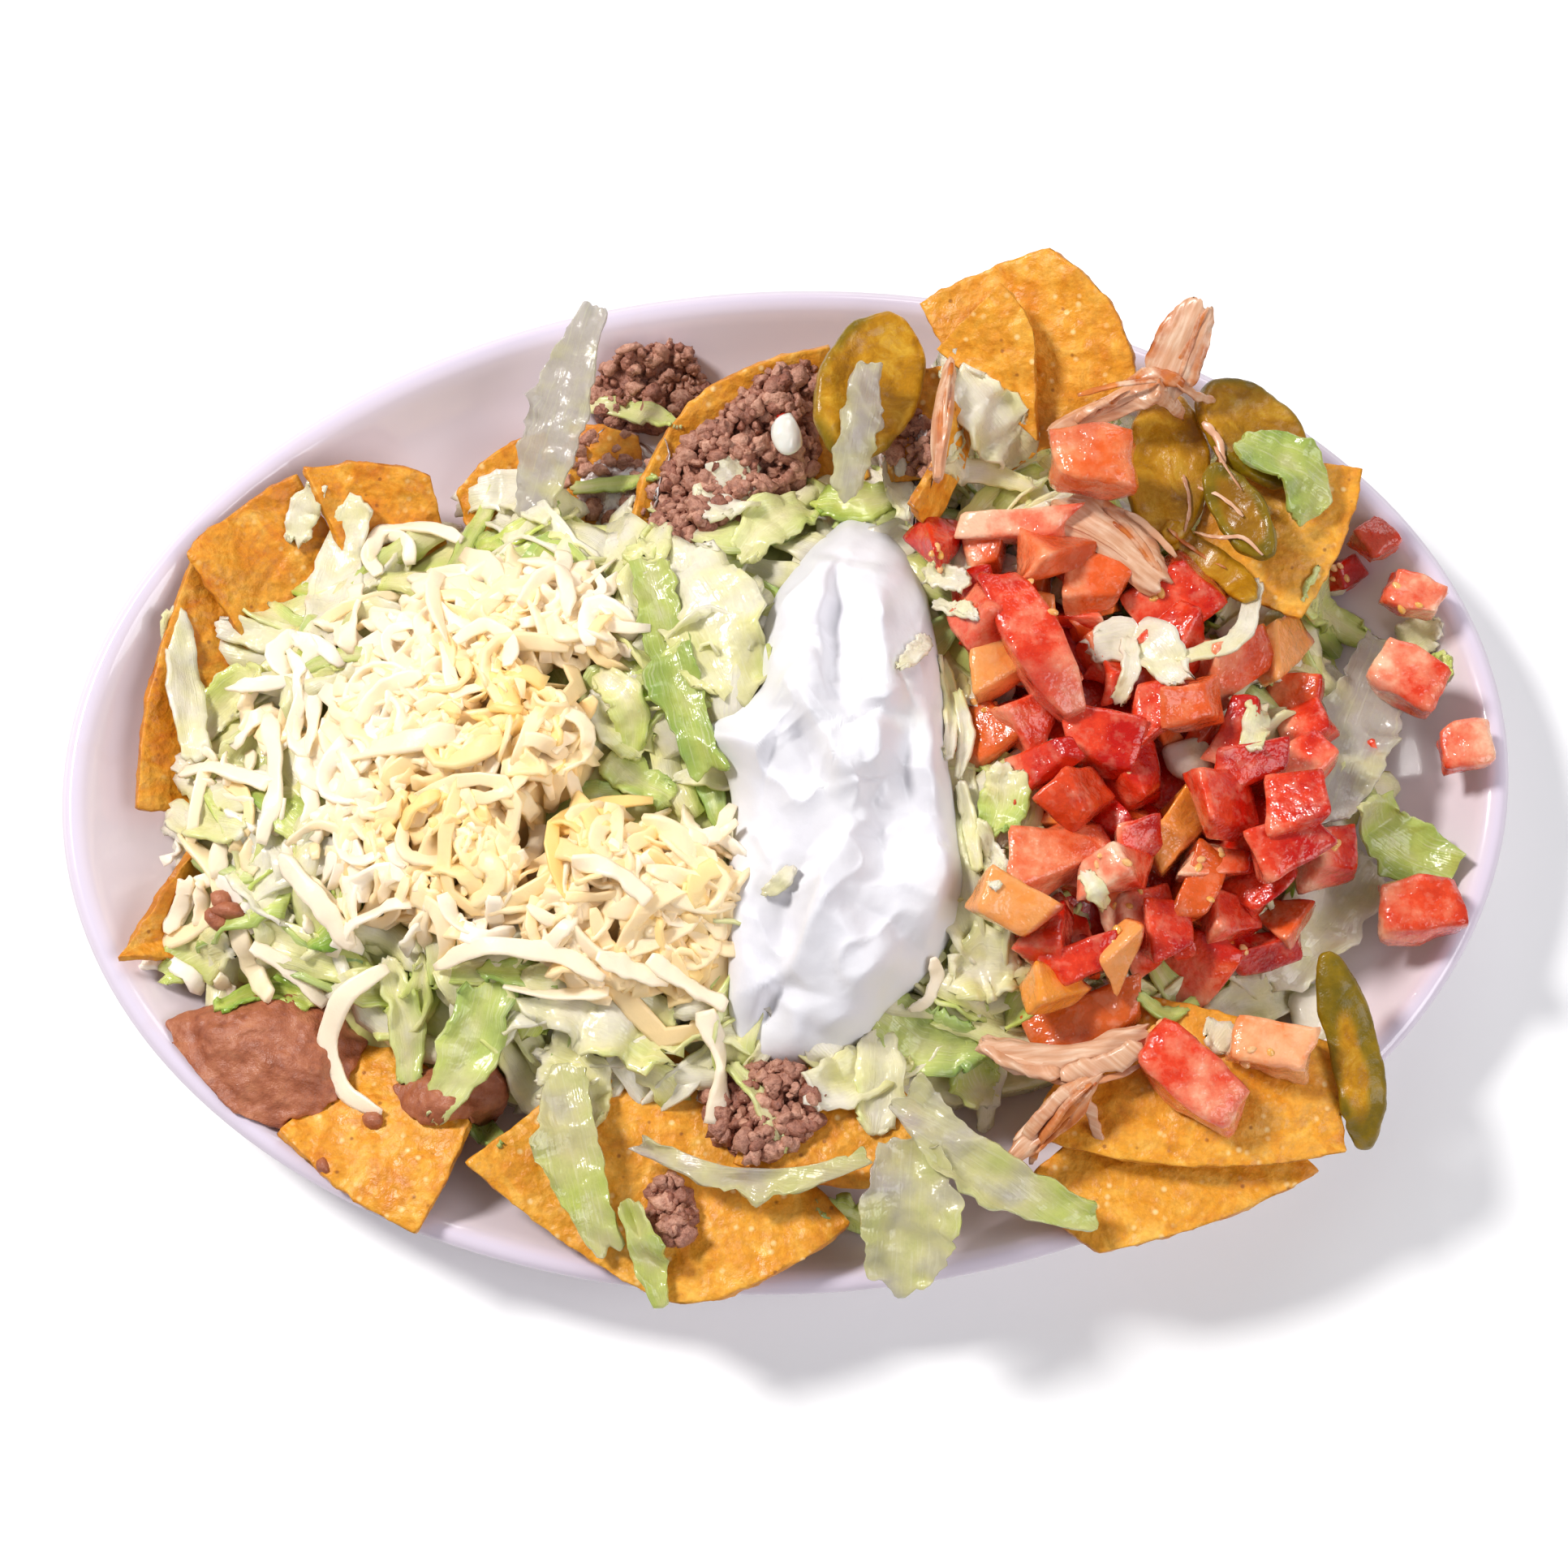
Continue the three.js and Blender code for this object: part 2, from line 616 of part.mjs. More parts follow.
// A box whose corners are off true, as a cut cube of tomato has.
function block(size, random) {
  const nudges = Array.from({ length: 24 }, () => 0.18 * (random() - 0.5));
  return (grow) => {
    const geometry = new THREE.BoxGeometry(1, 1, 1);
    geometry.deleteAttribute("normal");
    geometry.deleteAttribute("uv");
    const merged = mergeVertices(geometry, 1e-3);
    const position = merged.getAttribute("position");
    for (let i = 0; i < 8; i++) {
      const corner = [position.getX(i), position.getY(i), position.getZ(i)];
      position.setXYZ(i, ...corner.map((c, k) => c * (size[k] + 2 * grow) + nudges[3 * i + k] * size[k]));
    }
    return merged;
  };
}

const pepper = finish(0x8a7420, 0.25);
const PEPPERS = {
  jalapeno_big: { size: [38, 24], at: [22, 77], yaw: 1.15, roll: 0.35 },
  jalapeno_long: { size: [37, 20], at: [86, 58], yaw: 1.5, roll: -0.1 },
  jalapeno_round: { size: [31, 23], at: [105, 64], yaw: 2.2, roll: 0.3 },
  jalapeno_low: { size: [26, 12], at: [99.5, 44], yaw: -1.1, roll: 0.25 },
};
for (const [name, form] of Object.entries(PEPPERS)) lay(name, settled(slice(...form.size), form), pepper);

// A band swept along a path: a strip of pepper, a shred of chicken. Its section is a flattened hexagon.
function band(path, width, thick, steps = 4) {
  const curve = new THREE.CatmullRomCurve3(path.map(vec));
  const stops = Array.from({ length: steps + 1 }, (_, k) => {
    const t = k / steps;
    const p = curve.getPoint(t);
    const along = curve.getTangent(t);
    const across = new THREE.Vector3(-along.y, along.x, 0).normalize();
    const reach = 0.45 + 0.55 * Math.sin(Math.PI * t) ** 0.6;
    p.z = Math.max(p.z, heights.near(p.x, p.y, Math.ceil((width * reach) / 2)) + GAP + thick / 2);
    return { p, across, reach };
  });
  return (grow) =>
    skinRings(
      stops.map(({ p, across, reach }) =>
        Array.from({ length: 6 }, (_, i) => {
          const angle = (Math.PI * i) / 3;
          const w = ((width * reach) / 2 + grow) * Math.cos(angle);
          const h = 1.15 * (thick / 2 + grow) * Math.sin(angle);
          return p.clone().addScaledVector(across, w).add(new THREE.Vector3(0, 0, h));
        }),
      ),
    );
}

lay("jalapeno_strip", band([[111, -50, 42], [116, -70, 38], [118, -90, 30]], 13, 3.5, 5), pepper);

const fowl = finish(0xd8ab8c, 0.45);
const CHICKEN = {
  chicken_standing: { path: [[84, 70, 56], [88, 78, 61], [93, 87, 66]], width: 14, thick: 3.5 },
  chicken_thick: { path: [[59, 47, 48], [71, 44, 50], [82, 29, 48]], width: 14, thick: 5 },
  chicken_back: { path: [[60, 64, 46], [76, 70, 46], [90, 68, 46]], width: 7, thick: 4 },
  chicken_side: { path: [[40, 80, 50], [37, 66, 50], [35, 52, 48]], width: 5, thick: 4 },
  chicken_front: { path: [[38, -66, 42], [54, -72, 42], [73, -65, 42]], width: 9, thick: 4 },
  chicken_corner: { path: [[61, -75, 40], [52, -83, 40], [43, -90, 38]], width: 8, thick: 4 },
};
for (const [name, { path, width, thick }] of Object.entries(CHICKEN)) {
  lay(name, band(path, width, thick), fowl);
}

// ---------------------------------------------------------------- leaves

const leafGreen = finish(0xb9d477, 0.35);

// A strip of leaf along a path: widths at its start, middle and end, with a wave across it.
function leaf({ path, widths, wave = 1.2, steps = 6 }) {
  const curve = new THREE.CatmullRomCurve3(path.map(vec));
  const grid = [];
  for (let r = 0; r <= steps; r++) {
    const t = r / steps;
    const p = curve.getPoint(t);
    const along = curve.getTangent(t);
    const across = new THREE.Vector3(-along.y, along.x, 0).normalize();
    const width = t < 0.5 ? mix(widths[0], widths[1], 2 * t) : mix(widths[1], widths[2], 2 * t - 1);
    grid.push(
      [-0.5, 0, 0.5].map((side) => {
        const q = p.clone().addScaledVector(across, side * width);
        q.z += wave * Math.sin(4 * r + 3 * side) + (side === 0 ? -0.8 * wave : 0);
        const floor = heights.near(q.x, q.y, 3);
        q.z = Math.max(q.z, floor + GAP + LEAF_THICK);
        return q;
      }),
    );
  }
  return (grow) => thickSheet(grid, LEAF_THICK, grow);
}

const LEAVES = {
  leaf_tall: { path: [[-54, 57, 30], [-50, 71, 36], [-44, 87, 42], [-37, 103, 46]], widths: [8, 15, 5] },
  leaf_standing: { path: [[22, 79, 62], [19, 66, 58], [15, 52, 52]], widths: [5, 9, 6] },
  leaf_bright: { path: [[100, 58, 50], [112, 56, 50], [116, 44, 46]], widths: [8, 14, 10] },
  leaf_right_pale: { path: [[137, 25, 20], [125, 2, 28], [115, -20, 34]], widths: [12, 18, 10] },
  leaf_right_green: { path: [[126, -15, 24], [133, -24, 22], [144, -31, 22]], widths: [9, 16, 10] },
  leaf_centre_green: { path: [[-27, 41, 46], [-23, 16, 50], [-16, -8, 50]], widths: [8, 11, 7] },
  leaf_front_long: { path: [[-48, -66, 36], [-48, -85, 38], [-40, -105, 34]], widths: [8, 14, 6] },
  leaf_front_narrow: { path: [[-36, -95, 36], [-32, -107, 35], [-30, -116, 33]], widths: [4, 7, 3] },
  leaf_front_curl: { path: [[22, -85, 42], [22, -101, 40], [19, -115, 33]], widths: [12, 22, 12] },
  leaf_front_right: { path: [[21, -75, 42], [35, -92, 42], [60, -103, 36]], widths: [7, 13, 6] },
  leaf_front_thin: { path: [[-35, -83, 38], [-10, -93, 38], [14, -89, 40]], widths: [3, 6, 3] },
};
for (const [name, form] of Object.entries(LEAVES)) lay(name, leaf(form), leafGreen);

// ---------------------------------------------------------------- tomato in larger pieces

const BLOCKS = {
  tomato_rim_back: { size: [8, 8, 7], at: [133, 46], yaw: 0.6 },
  tomato_rim_back_2: { size: [12, 9, 8], at: [140, 32], yaw: -0.4 },
  tomato_rim_middle: { size: [15, 12, 10], at: [137, 12], yaw: -0.6 },
  tomato_rim_edge: { size: [11, 10, 8], at: [148, -3], yaw: 0.3 },
  tomato_rim_front: { size: [16, 13, 10], at: [134, -39], yaw: 0.1 },
  tomato_on_chip: { size: [25, 12, 10], at: [81, -76.5], yaw: -0.78 },
  tomato_orange: { size: [18, 13, 12], at: [68, 54], yaw: -0.2 },
  tomato_wedge: { size: [34, 12, 10], at: [54, 16], yaw: -1.1 },
  tomato_core: { size: [16, 10, 10], at: [98.5, -69.5], yaw: -0.25 },
};
for (const [index, [name, form]] of Object.entries(BLOCKS).entries()) {
  lay(name, settled(block(form.size, makeRandom(40 + index)), form), tomato);
}

const onion = finish(0xeeeade, 0.2);
const ONION = { size: [10, 7, 6], at: [3.5, 69], yaw: -1.2 };
lay("onion_chunk", settled(block(ONION.size, makeRandom(51)), ONION), onion);

// ---------------------------------------------------------------- shreds and dice on the heaps

// A shred on a heap, sunk in the heap at its middle and free at its ends.
function shred(x, y, { length, width, thick }, random) {
  const yaw = Math.PI * random();
  const bend = 0.3 * length * (random() - 0.5);
  const long = length * (0.6 + 0.6 * random());
  const rise = thick * (0.4 + 0.6 * random());
  const stops = [-1, 0, 1].map((t) => {
    const [u, v] = [(t * long) / 2, bend * t * t];
    const px = x + u * Math.cos(yaw) - v * Math.sin(yaw);
    const py = y + u * Math.sin(yaw) + v * Math.cos(yaw);
    const turn = yaw + Math.atan((4 * bend * t) / long);
    return { px, py, pz: heights.near(px, py, 0) + mix(0.1, thick / 2 + GAP + rise, t * t), turn };
  });
  return (grow) =>
    skinRings(
      stops.map(({ px, py, pz, turn }) =>
        [[-1, -1], [1, -1], [1, 1], [-1, 1]].map(([w, h]) => {
          const [across, up] = [w * (width / 2 + grow), h * (thick / 2 + grow)];
          return new THREE.Vector3(px - across * Math.sin(turn), py + across * Math.cos(turn), pz + up);
        }),
      ),
    );
}

// A die of tomato, sunk by a third.
function die(x, y, random) {
  const size = [DIE * (0.9 + 0.5 * random()), DIE * (0.75 + 0.3 * random()), DIE * (0.6 + 0.25 * random())];
  const tilt = new THREE.Euler(0.7 * (random() - 0.5), 0.7 * (random() - 0.5), 3 * random());
  const turn = new THREE.Matrix4().makeRotationFromEuler(tilt);
  const rest = heights.near(x, y, 0) + 0.2 * size[2];
  const make = block(size, random);
  return (grow) => make(grow).applyMatrix4(turn).translate(x, y, rest);
}

const TOP_COATS = {
  diced_tomato: { outline: salsa.outline, step: DIE, seed: 5, make: die, material: tomato },
  cheese: {
    outline: cheese.outline,
    step: CHEESE_SHRED.step,
    seed: 7,
    make: (x, y, random) => shred(x, y, CHEESE_SHRED, random),
    material: curd,
  },
  lettuce: {
    outline: MOUND_OUTLINE,
    step: LETTUCE_SHRED.step,
    seed: 9,
    make: (x, y, random) => shred(x, y, LETTUCE_SHRED, random),
    material: lettuce,
  },
};
for (const [name, { outline, step, seed, make, material }] of Object.entries(TOP_COATS)) {
  const random = makeRandom(seed);
  const spots = spotsIn(outline, step, random);
  show(name, toGeometry(joinPieces(name, cores[name], spots, (x, y) => make(x, y, random))), material);
}

export default nachos;
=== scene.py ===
"""Looks for a platter of loaded nachos. Lengths are in millimetres here and become metres in each mesh."""

import math

import bmesh
import bpy
import numpy as np
from mathutils import Matrix, Vector
from mathutils.bvhtree import BVHTree


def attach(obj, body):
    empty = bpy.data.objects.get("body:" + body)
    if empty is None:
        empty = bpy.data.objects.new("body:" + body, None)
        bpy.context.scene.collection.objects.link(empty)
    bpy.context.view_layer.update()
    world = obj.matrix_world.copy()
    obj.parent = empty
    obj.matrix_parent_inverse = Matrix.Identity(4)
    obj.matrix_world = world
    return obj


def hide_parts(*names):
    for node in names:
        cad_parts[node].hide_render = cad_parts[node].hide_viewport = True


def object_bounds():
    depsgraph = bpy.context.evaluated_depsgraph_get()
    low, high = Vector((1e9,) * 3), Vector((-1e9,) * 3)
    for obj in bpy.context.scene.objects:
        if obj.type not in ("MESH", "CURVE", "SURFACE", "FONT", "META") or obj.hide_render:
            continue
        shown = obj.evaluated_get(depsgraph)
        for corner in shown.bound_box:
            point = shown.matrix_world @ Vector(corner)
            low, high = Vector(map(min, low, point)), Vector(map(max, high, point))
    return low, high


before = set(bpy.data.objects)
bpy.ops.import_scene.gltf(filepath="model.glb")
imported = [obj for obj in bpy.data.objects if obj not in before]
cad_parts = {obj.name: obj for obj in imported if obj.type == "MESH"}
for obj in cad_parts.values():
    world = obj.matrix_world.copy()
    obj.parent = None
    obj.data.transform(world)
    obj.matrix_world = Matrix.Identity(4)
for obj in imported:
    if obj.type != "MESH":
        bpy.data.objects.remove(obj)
cad_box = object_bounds()

MM = 0.001
UP = np.array([0.0, 0.0, 1.0])
BOX_MARGIN = 0.15  # how far inside the CAD model's box every point stays

# ---------------------------------------------------------------- camera, and places named by a pixel

PHOTO = 1932  # width and height of the photograph
FOCAL = 3604.3  # in its pixels
SENSOR = 36.0
ELEVATION = math.radians(74.381)
ROLL = math.radians(-2.4234)
EYE = np.array([-0.205, -176.082, 640.368])


def camera_axes():
    """The camera's right, up and backward directions."""
    back = np.array([0, -math.cos(ELEVATION), math.sin(ELEVATION)])
    level = np.array([1.0, 0, 0])
    rise = np.array([0, math.sin(ELEVATION), math.cos(ELEVATION)])
    right = level * math.cos(ROLL) + rise * math.sin(ROLL)
    up = rise * math.cos(ROLL) - level * math.sin(ROLL)
    return right, up, back


RIGHT, ABOVE, BACK = camera_axes()


def make_camera():
    data = bpy.data.cameras.new("camera")
    data.sensor_width = SENSOR
    data.lens = FOCAL / PHOTO * SENSOR
    data.clip_end = 10
    camera = bpy.data.objects.new("camera", data)
    bpy.context.scene.collection.objects.link(camera)
    turn = Matrix([RIGHT, ABOVE, BACK]).transposed().to_4x4()
    camera.matrix_world = Matrix.Translation(Vector(EYE * MM)) @ turn
    bpy.context.scene.camera = camera


def at_height(px, py, z):
    """The place at a height that a pixel of the photograph shows."""
    sight = RIGHT * (px - PHOTO / 2) / FOCAL + ABOVE * (PHOTO / 2 - py) / FOCAL - BACK
    return EYE + sight * (z - EYE[2]) / sight[2]


SIGHT_ROUNDS = 5  # steps that bring a sight line down to an uneven surface


def seen_on(height, px, py, guess, lift):
    """The place that a pixel of the photograph shows, lift mm over a surface whose height(x, y) is known."""
    place = at_height(px, py, guess)
    for _ in range(SIGHT_ROUNDS):
        place = at_height(px, py, float(height(place[0], place[1])) + lift)
    return place


# ---------------------------------------------------------------- numbers

GRADIENTS = np.random.default_rng(1).normal(size=(256, 3))
GRADIENTS /= np.linalg.norm(GRADIENTS, axis=1)[:, None]
SHUFFLE = np.random.default_rng(2).permutation(256)


def waves(points, size, octaves=3, seed=0):
    """Smooth random values of about -1 to 1 at points, for features of a given size."""
    total = np.zeros(len(points))
    for octave in range(octaves):
        place = np.asarray(points, float) * 2**octave / size + 17.3 * octave
        cell = np.floor(place).astype(int)
        part = place - cell
        ease = part**3 * (part * (part * 6 - 15) + 10)
        for corner in np.ndindex(2, 2, 2):
            corner = np.array(corner)
            index = SHUFFLE[(cell[:, 0] + corner[0] + seed) & 255]
            index = SHUFFLE[(index + cell[:, 1] + corner[1]) & 255]
            index = SHUFFLE[(index + cell[:, 2] + corner[2]) & 255]
            weight = np.prod(np.where(corner, ease, 1 - ease), axis=1)
            total += 1.5 * weight * np.sum(GRADIENTS[index] * (part - corner), axis=1) / 2**octave
    return total


def unit(vectors):
    length = np.linalg.norm(vectors, axis=-1, keepdims=True)
    return vectors / np.maximum(length, 1e-9)


def mix(a, b, t):
    return a + (b - a) * t


def clipped(values):
    """Values kept within 0 and 1."""
    return np.clip(values, 0, 1)


def spline(path, t):
    """Points of a smooth curve through a path, at shares t of its length."""
    path = np.asarray(path, float)
    reach = np.concatenate([[0], np.cumsum(np.linalg.norm(np.diff(path, axis=0), axis=1))])
    reach /= reach[-1]
    slope = np.gradient(path, reach, axis=0)
    k = np.clip(np.searchsorted(reach, t, side="right") - 1, 0, len(path) - 2)
    span = (reach[k + 1] - reach[k])[:, None]
    u = (t - reach[k])[:, None] / span
    start = (1 + 2 * u) * (1 - u) ** 2 * path[k] + u * (1 - u) ** 2 * span * slope[k]
    end = u * u * (3 - 2 * u) * path[k + 1] + u * u * (u - 1) * span * slope[k + 1]
    return start + end


def along_stops(values, t):
    """Values given at even stops along a piece, at shares t of its length."""
    return np.interp(t, np.linspace(0, 1, len(values)), values)


def inside(outline, x, y):
    """Which of the places x, y lie inside an outline."""
    outline = np.asarray(outline, float)
    odd = np.zeros(np.shape(x), bool)
    for (x1, y1), (x2, y2) in zip(outline, np.roll(outline, -1, axis=0)):
        crosses = (y1 > y) != (y2 > y)
        odd ^= crosses & (x < x1 + (y - y1) * (x2 - x1) / (y2 - y1 + 1e-12))
    return odd


LINE_STOPS = 24


def off_line(x, y, path):
    """How far places lie off a smooth path, how far to its left, and at which share of it."""
    places = np.stack([x, y], -1)
    line = spline(path, np.linspace(0, 1, LINE_STOPS))[:, :2]
    best = np.full(np.shape(x), 1e9)
    side, share = np.zeros_like(best), np.zeros_like(best)
    for k, (a, b) in enumerate(zip(line[:-1], line[1:])):
        reach = b - a
        part = clipped(((places - a) @ reach) / (reach @ reach))
        off = places - a - part[..., None] * reach
        distance = np.linalg.norm(off, axis=-1)
        nearer = distance < best
        left = (reach[0] * off[..., 1] - reach[1] * off[..., 0]) / np.linalg.norm(reach)
        best, side, share = (
            np.where(nearer, new, old)
            for new, old in ((distance, best), (left, side), ((k + part) / (LINE_STOPS - 1), share))
        )
    return best, side, share


# ---------------------------------------------------------------- meshes

VALUES = ("tone", "shade", "spot", "along", "across")  # what the materials read at each point


class Pile:
    """Many closed forms that become one mesh, with values for the material at each point."""

    def __init__(self):
        self.points = []
        self.faces = {3: [], 4: []}
        self.values = {name: [] for name in VALUES}
        self.count = 0

    def add(self, form, **values):
        """Adds a form with its values, and gives the form back."""
        points, quads, triangles = form
        self.points.append(points)
        for corners, faces in ((4, quads), (3, triangles)):
            if len(faces):
                self.faces[corners].append(np.asarray(faces) + self.count)
        for name in VALUES:
            self.values[name].append(np.broadcast_to(values.get(name, 0.0), len(points)))
        self.count += len(points)
        return form

    def finish(self, name, material, slot, nodes=()):
        """Makes the object, riding on the plate's body in place of its CAD nodes."""
        low, high = [np.array(corner) / MM for corner in cad_box]
        points = np.clip(np.concatenate(self.points), low + BOX_MARGIN, high - BOX_MARGIN) * MM
        faces = [block for blocks in self.faces.values() for block in blocks]
        sizes = np.concatenate([np.full(len(block), block.shape[1]) for block in faces])
        corners = np.concatenate([block.ravel() for block in faces])
        mesh = bpy.data.meshes.new(name)
        mesh.vertices.add(len(points))
        mesh.vertices.foreach_set("co", points.ravel())
        mesh.loops.add(len(corners))
        mesh.loops.foreach_set("vertex_index", corners)
        mesh.polygons.add(len(sizes))
        mesh.polygons.foreach_set("loop_start", np.concatenate([[0], np.cumsum(sizes)[:-1]]))
        mesh.polygons.foreach_set("use_smooth", np.full(len(sizes), True))
        for value in VALUES:
            layer = mesh.attributes.new(value, "FLOAT", "POINT")
            layer.data.foreach_set("value", np.concatenate(self.values[value]).astype(np.float32))
        mesh.update(calc_edges=True)
        mesh.materials.append(material)
        piece = bpy.data.objects.new(name, mesh)
        bpy.context.scene.collection.objects.link(piece)
        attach(piece, "root")
        if nodes:
            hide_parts(*nodes)


def skin_rings(rings):
    """Rings of points of equal length skinned one to the next, closed by a fan at each end."""
    rings = np.asarray(rings)
    count, sides = rings.shape[:2]
    start = np.arange(count - 1)[:, None] * sides
    a = start + np.arange(sides)
    b = start + (np.arange(sides) + 1) % sides
    quads = np.stack([a, b, b + sides, a + sides], axis=-1).reshape(-1, 4)
    points = np.concatenate([rings.reshape(-1, 3), rings[0].mean(axis=0)[None], rings[-1].mean(axis=0)[None]])
    around = np.arange(sides)
    after = (around + 1) % sides
    first, last = np.full(sides, count * sides), np.full(sides, count * sides + 1)
    base = (count - 1) * sides
    start_fan = np.stack([after, around, first], 1)
    end_fan = np.stack([around + base, after + base, last], 1)
    return points, quads, np.concatenate([start_fan, end_fan])


def grid_normals(grid):
    """Unit normals at the points of a grid."""
    return unit(np.cross(np.gradient(grid, axis=1), np.gradient(grid, axis=0)))


def solid_sheet(grid, thick):
    """A thin closed solid about a grid of points."""
    rows, columns = grid.shape[:2]
    offset = grid_normals(grid) * thick / 2
    points = np.concatenate([(grid + offset).reshape(-1, 3), (grid - offset).reshape(-1, 3)])
    index = np.arange(rows * columns).reshape(rows, columns)
    top = np.stack([index[:-1, :-1], index[:-1, 1:], index[1:, 1:], index[1:, :-1]], -1).reshape(-1, 4)
    edge = np.concatenate([index[0, :-1], index[:-1, -1], index[-1, :0:-1], index[:0:-1, 0]])
    after = np.roll(edge, -1)
    below = rows * columns
    wall = np.stack([edge, edge + below, after + below, after], -1)
    return points, np.concatenate([top, top[:, ::-1] + below, wall]), []


def moving_frame(path, twist, t):
    """A twisted path at shares t of it: its centre, and the directions ahead, across and out of its face."""
    centre = spline(path, t)
    ahead = unit(np.gradient(centre, axis=0))
    level = unit(np.cross(UP, ahead))
    rise = np.cross(ahead, level)
    angle = along_stops(twist, t)[:, None]
    across = level * np.cos(angle) + rise * np.sin(angle)
    return centre, ahead, across, rise * np.cos(angle) - level * np.sin(angle)


def ribbon(path, widths, twist, curl, ruffle, folds, rows, columns, seed):
    """A grid of points for a thin strip along a path.

    curl cups it, ruffle is how far its uneven, torn edges wave, and folds how often."""
    t = np.linspace(0, 1, rows + 1)
    centre, ahead, across, normal = moving_frame(path, twist, t)
    half = along_stops(widths, t) / 2
    s = np.linspace(-1, 1, columns + 1)
    span = np.stack(np.broadcast_arrays(t[:, None] * 7, np.sign(s)[None] * 4 + seed * 3.1, 0.0), -1)
    uneven = waves(span.reshape(-1, 3), 1.0, 2, seed).reshape(len(t), len(s))
    reach = half[:, None] * s * (1 + 0.24 * uneven * np.abs(s))
    flutter = np.sin(folds * 2 * math.pi * t[:, None] + 1.3 * np.sign(s) + seed) * np.abs(s) ** 1.5
    off = curl * half[:, None] * (s**2 - 0.35) + ruffle * flutter
    torn = waves(np.stack([s * 2.6, 0 * s + seed * 1.7, 0 * s], 1), 1.0, 2, seed + 3)
    push = (2 * t[:, None] - 1) ** 7 * np.max(half) * (0.5 * torn - 0.5 * s**2)
    return (
        centre[:, None] + across[:, None] * reach[..., None] + normal[:, None] * off[..., None]
        + ahead[:, None] * push[..., None]
    )


def crumpled(grid, amount, size, seed):
    """A grid of points pushed in and out like a crinkled leaf."""
    flat = grid.reshape(-1, 3)
    push = waves(flat, size, 2, seed) + 0.35 * waves(flat, size / 3, 2, seed + 1)
    return grid + grid_normals(grid) * (amount * push).reshape(grid.shape[:2])[..., None]


def bar(
    path, width, thick, twist=(0, 0), rows=9, blunt=0.75, hollow=0.0, square=0.6, ragged=0.0, seed=0, sides=8
):
    """A closed bar along a path, with a rounded oblong section.

    blunt is the width of its ends, hollow the depth of the groove on its top, and ragged how uneven it is."""
    t = np.linspace(0, 1, rows + 1)
    centre, _, across, normal = moving_frame(path, twist, t)
    turn = (np.arange(sides) + 0.5) * 2 * math.pi / sides
    u = np.sign(np.cos(turn)) * np.abs(np.cos(turn)) ** square
    v = np.sign(np.sin(turn)) * np.abs(np.sin(turn)) ** square
    v = v - hollow * (v > 0) * (1 - u**2)
    span = np.stack(np.broadcast_arrays(t[:, None] * 5, seed * 3.7 + 4 * np.sign(u)[None], 0.0), -1)
    drift = waves(span.reshape(-1, 3), 1.0, 2, seed).reshape(len(t), sides)
    taper = np.minimum(blunt + 4 * np.minimum(t, 1 - t), 1)[:, None]
    reach, rise = (u * width / 2)[None, :, None], (v * thick / 2)[None, :, None]
    section = across[:, None] * reach + normal[:, None] * rise
    return skin_rings(centre[:, None] + section * (taper * (1 + ragged * drift))[..., None])


def template(make):
    """Points, quads and triangles of a bmesh form."""
    form = bmesh.new()
    make(form)
    points = np.array([v.co for v in form.verts])
    quads = [[v.index for v in f.verts] for f in form.faces if len(f.verts) == 4]
    triangles = [[v.index for v in f.verts] for f in form.faces if len(f.verts) == 3]
    form.free()
    return points, np.array(quads), np.array(triangles)


def cube_form(cuts):
    """A cube from -1 to 1, with each edge cut into equal parts."""
    def make(form):
        bmesh.ops.create_cube(form, size=2)
        bmesh.ops.subdivide_edges(form, edges=form.edges[:], cuts=cuts, use_grid_fill=True)
    return template(make)


def ball_form(subdivisions):
    return template(lambda form: bmesh.ops.create_icosphere(form, subdivisions=subdivisions, radius=1))


CUBE = cube_form(cuts=7)
BALL = ball_form(subdivisions=3)
SMALL_BALL = ball_form(subdivisions=2)


def turned(points, yaw, pitch=0.0, roll=0.0):
    """Points turned about X, then Y, then Z."""
    turn = Matrix.Rotation(yaw, 3, "Z") @ Matrix.Rotation(pitch, 3, "Y") @ Matrix.Rotation(roll, 3, "X")
    return points @ np.array(turn).T


def node_form(name):
    """A CAD node's mesh, with its points welded."""
    form = bmesh.new()
    form.from_mesh(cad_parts[name].data)
    bmesh.ops.remove_doubles(form, verts=form.verts, dist=1e-6)
    return form


def node_points(name):
    """A CAD node's points and its triangles, in mm."""
    form = node_form(name)
    bmesh.ops.triangulate(form, faces=form.faces)
    points = np.array([v.co for v in form.verts]) / MM
    triangles = [[v.index for v in f.verts] for f in form.faces]
    form.free()
    return points, triangles


EDGE_HOLD, CORNER_HOLD = 0.85, 0.8  # how firmly a sharp edge and a corner stay in place
NO_SHARP_EDGES = 9.0  # an angle that no edge reaches
NEARLY_STRAIGHT = -0.8  # the product of the directions of two arms that make one line


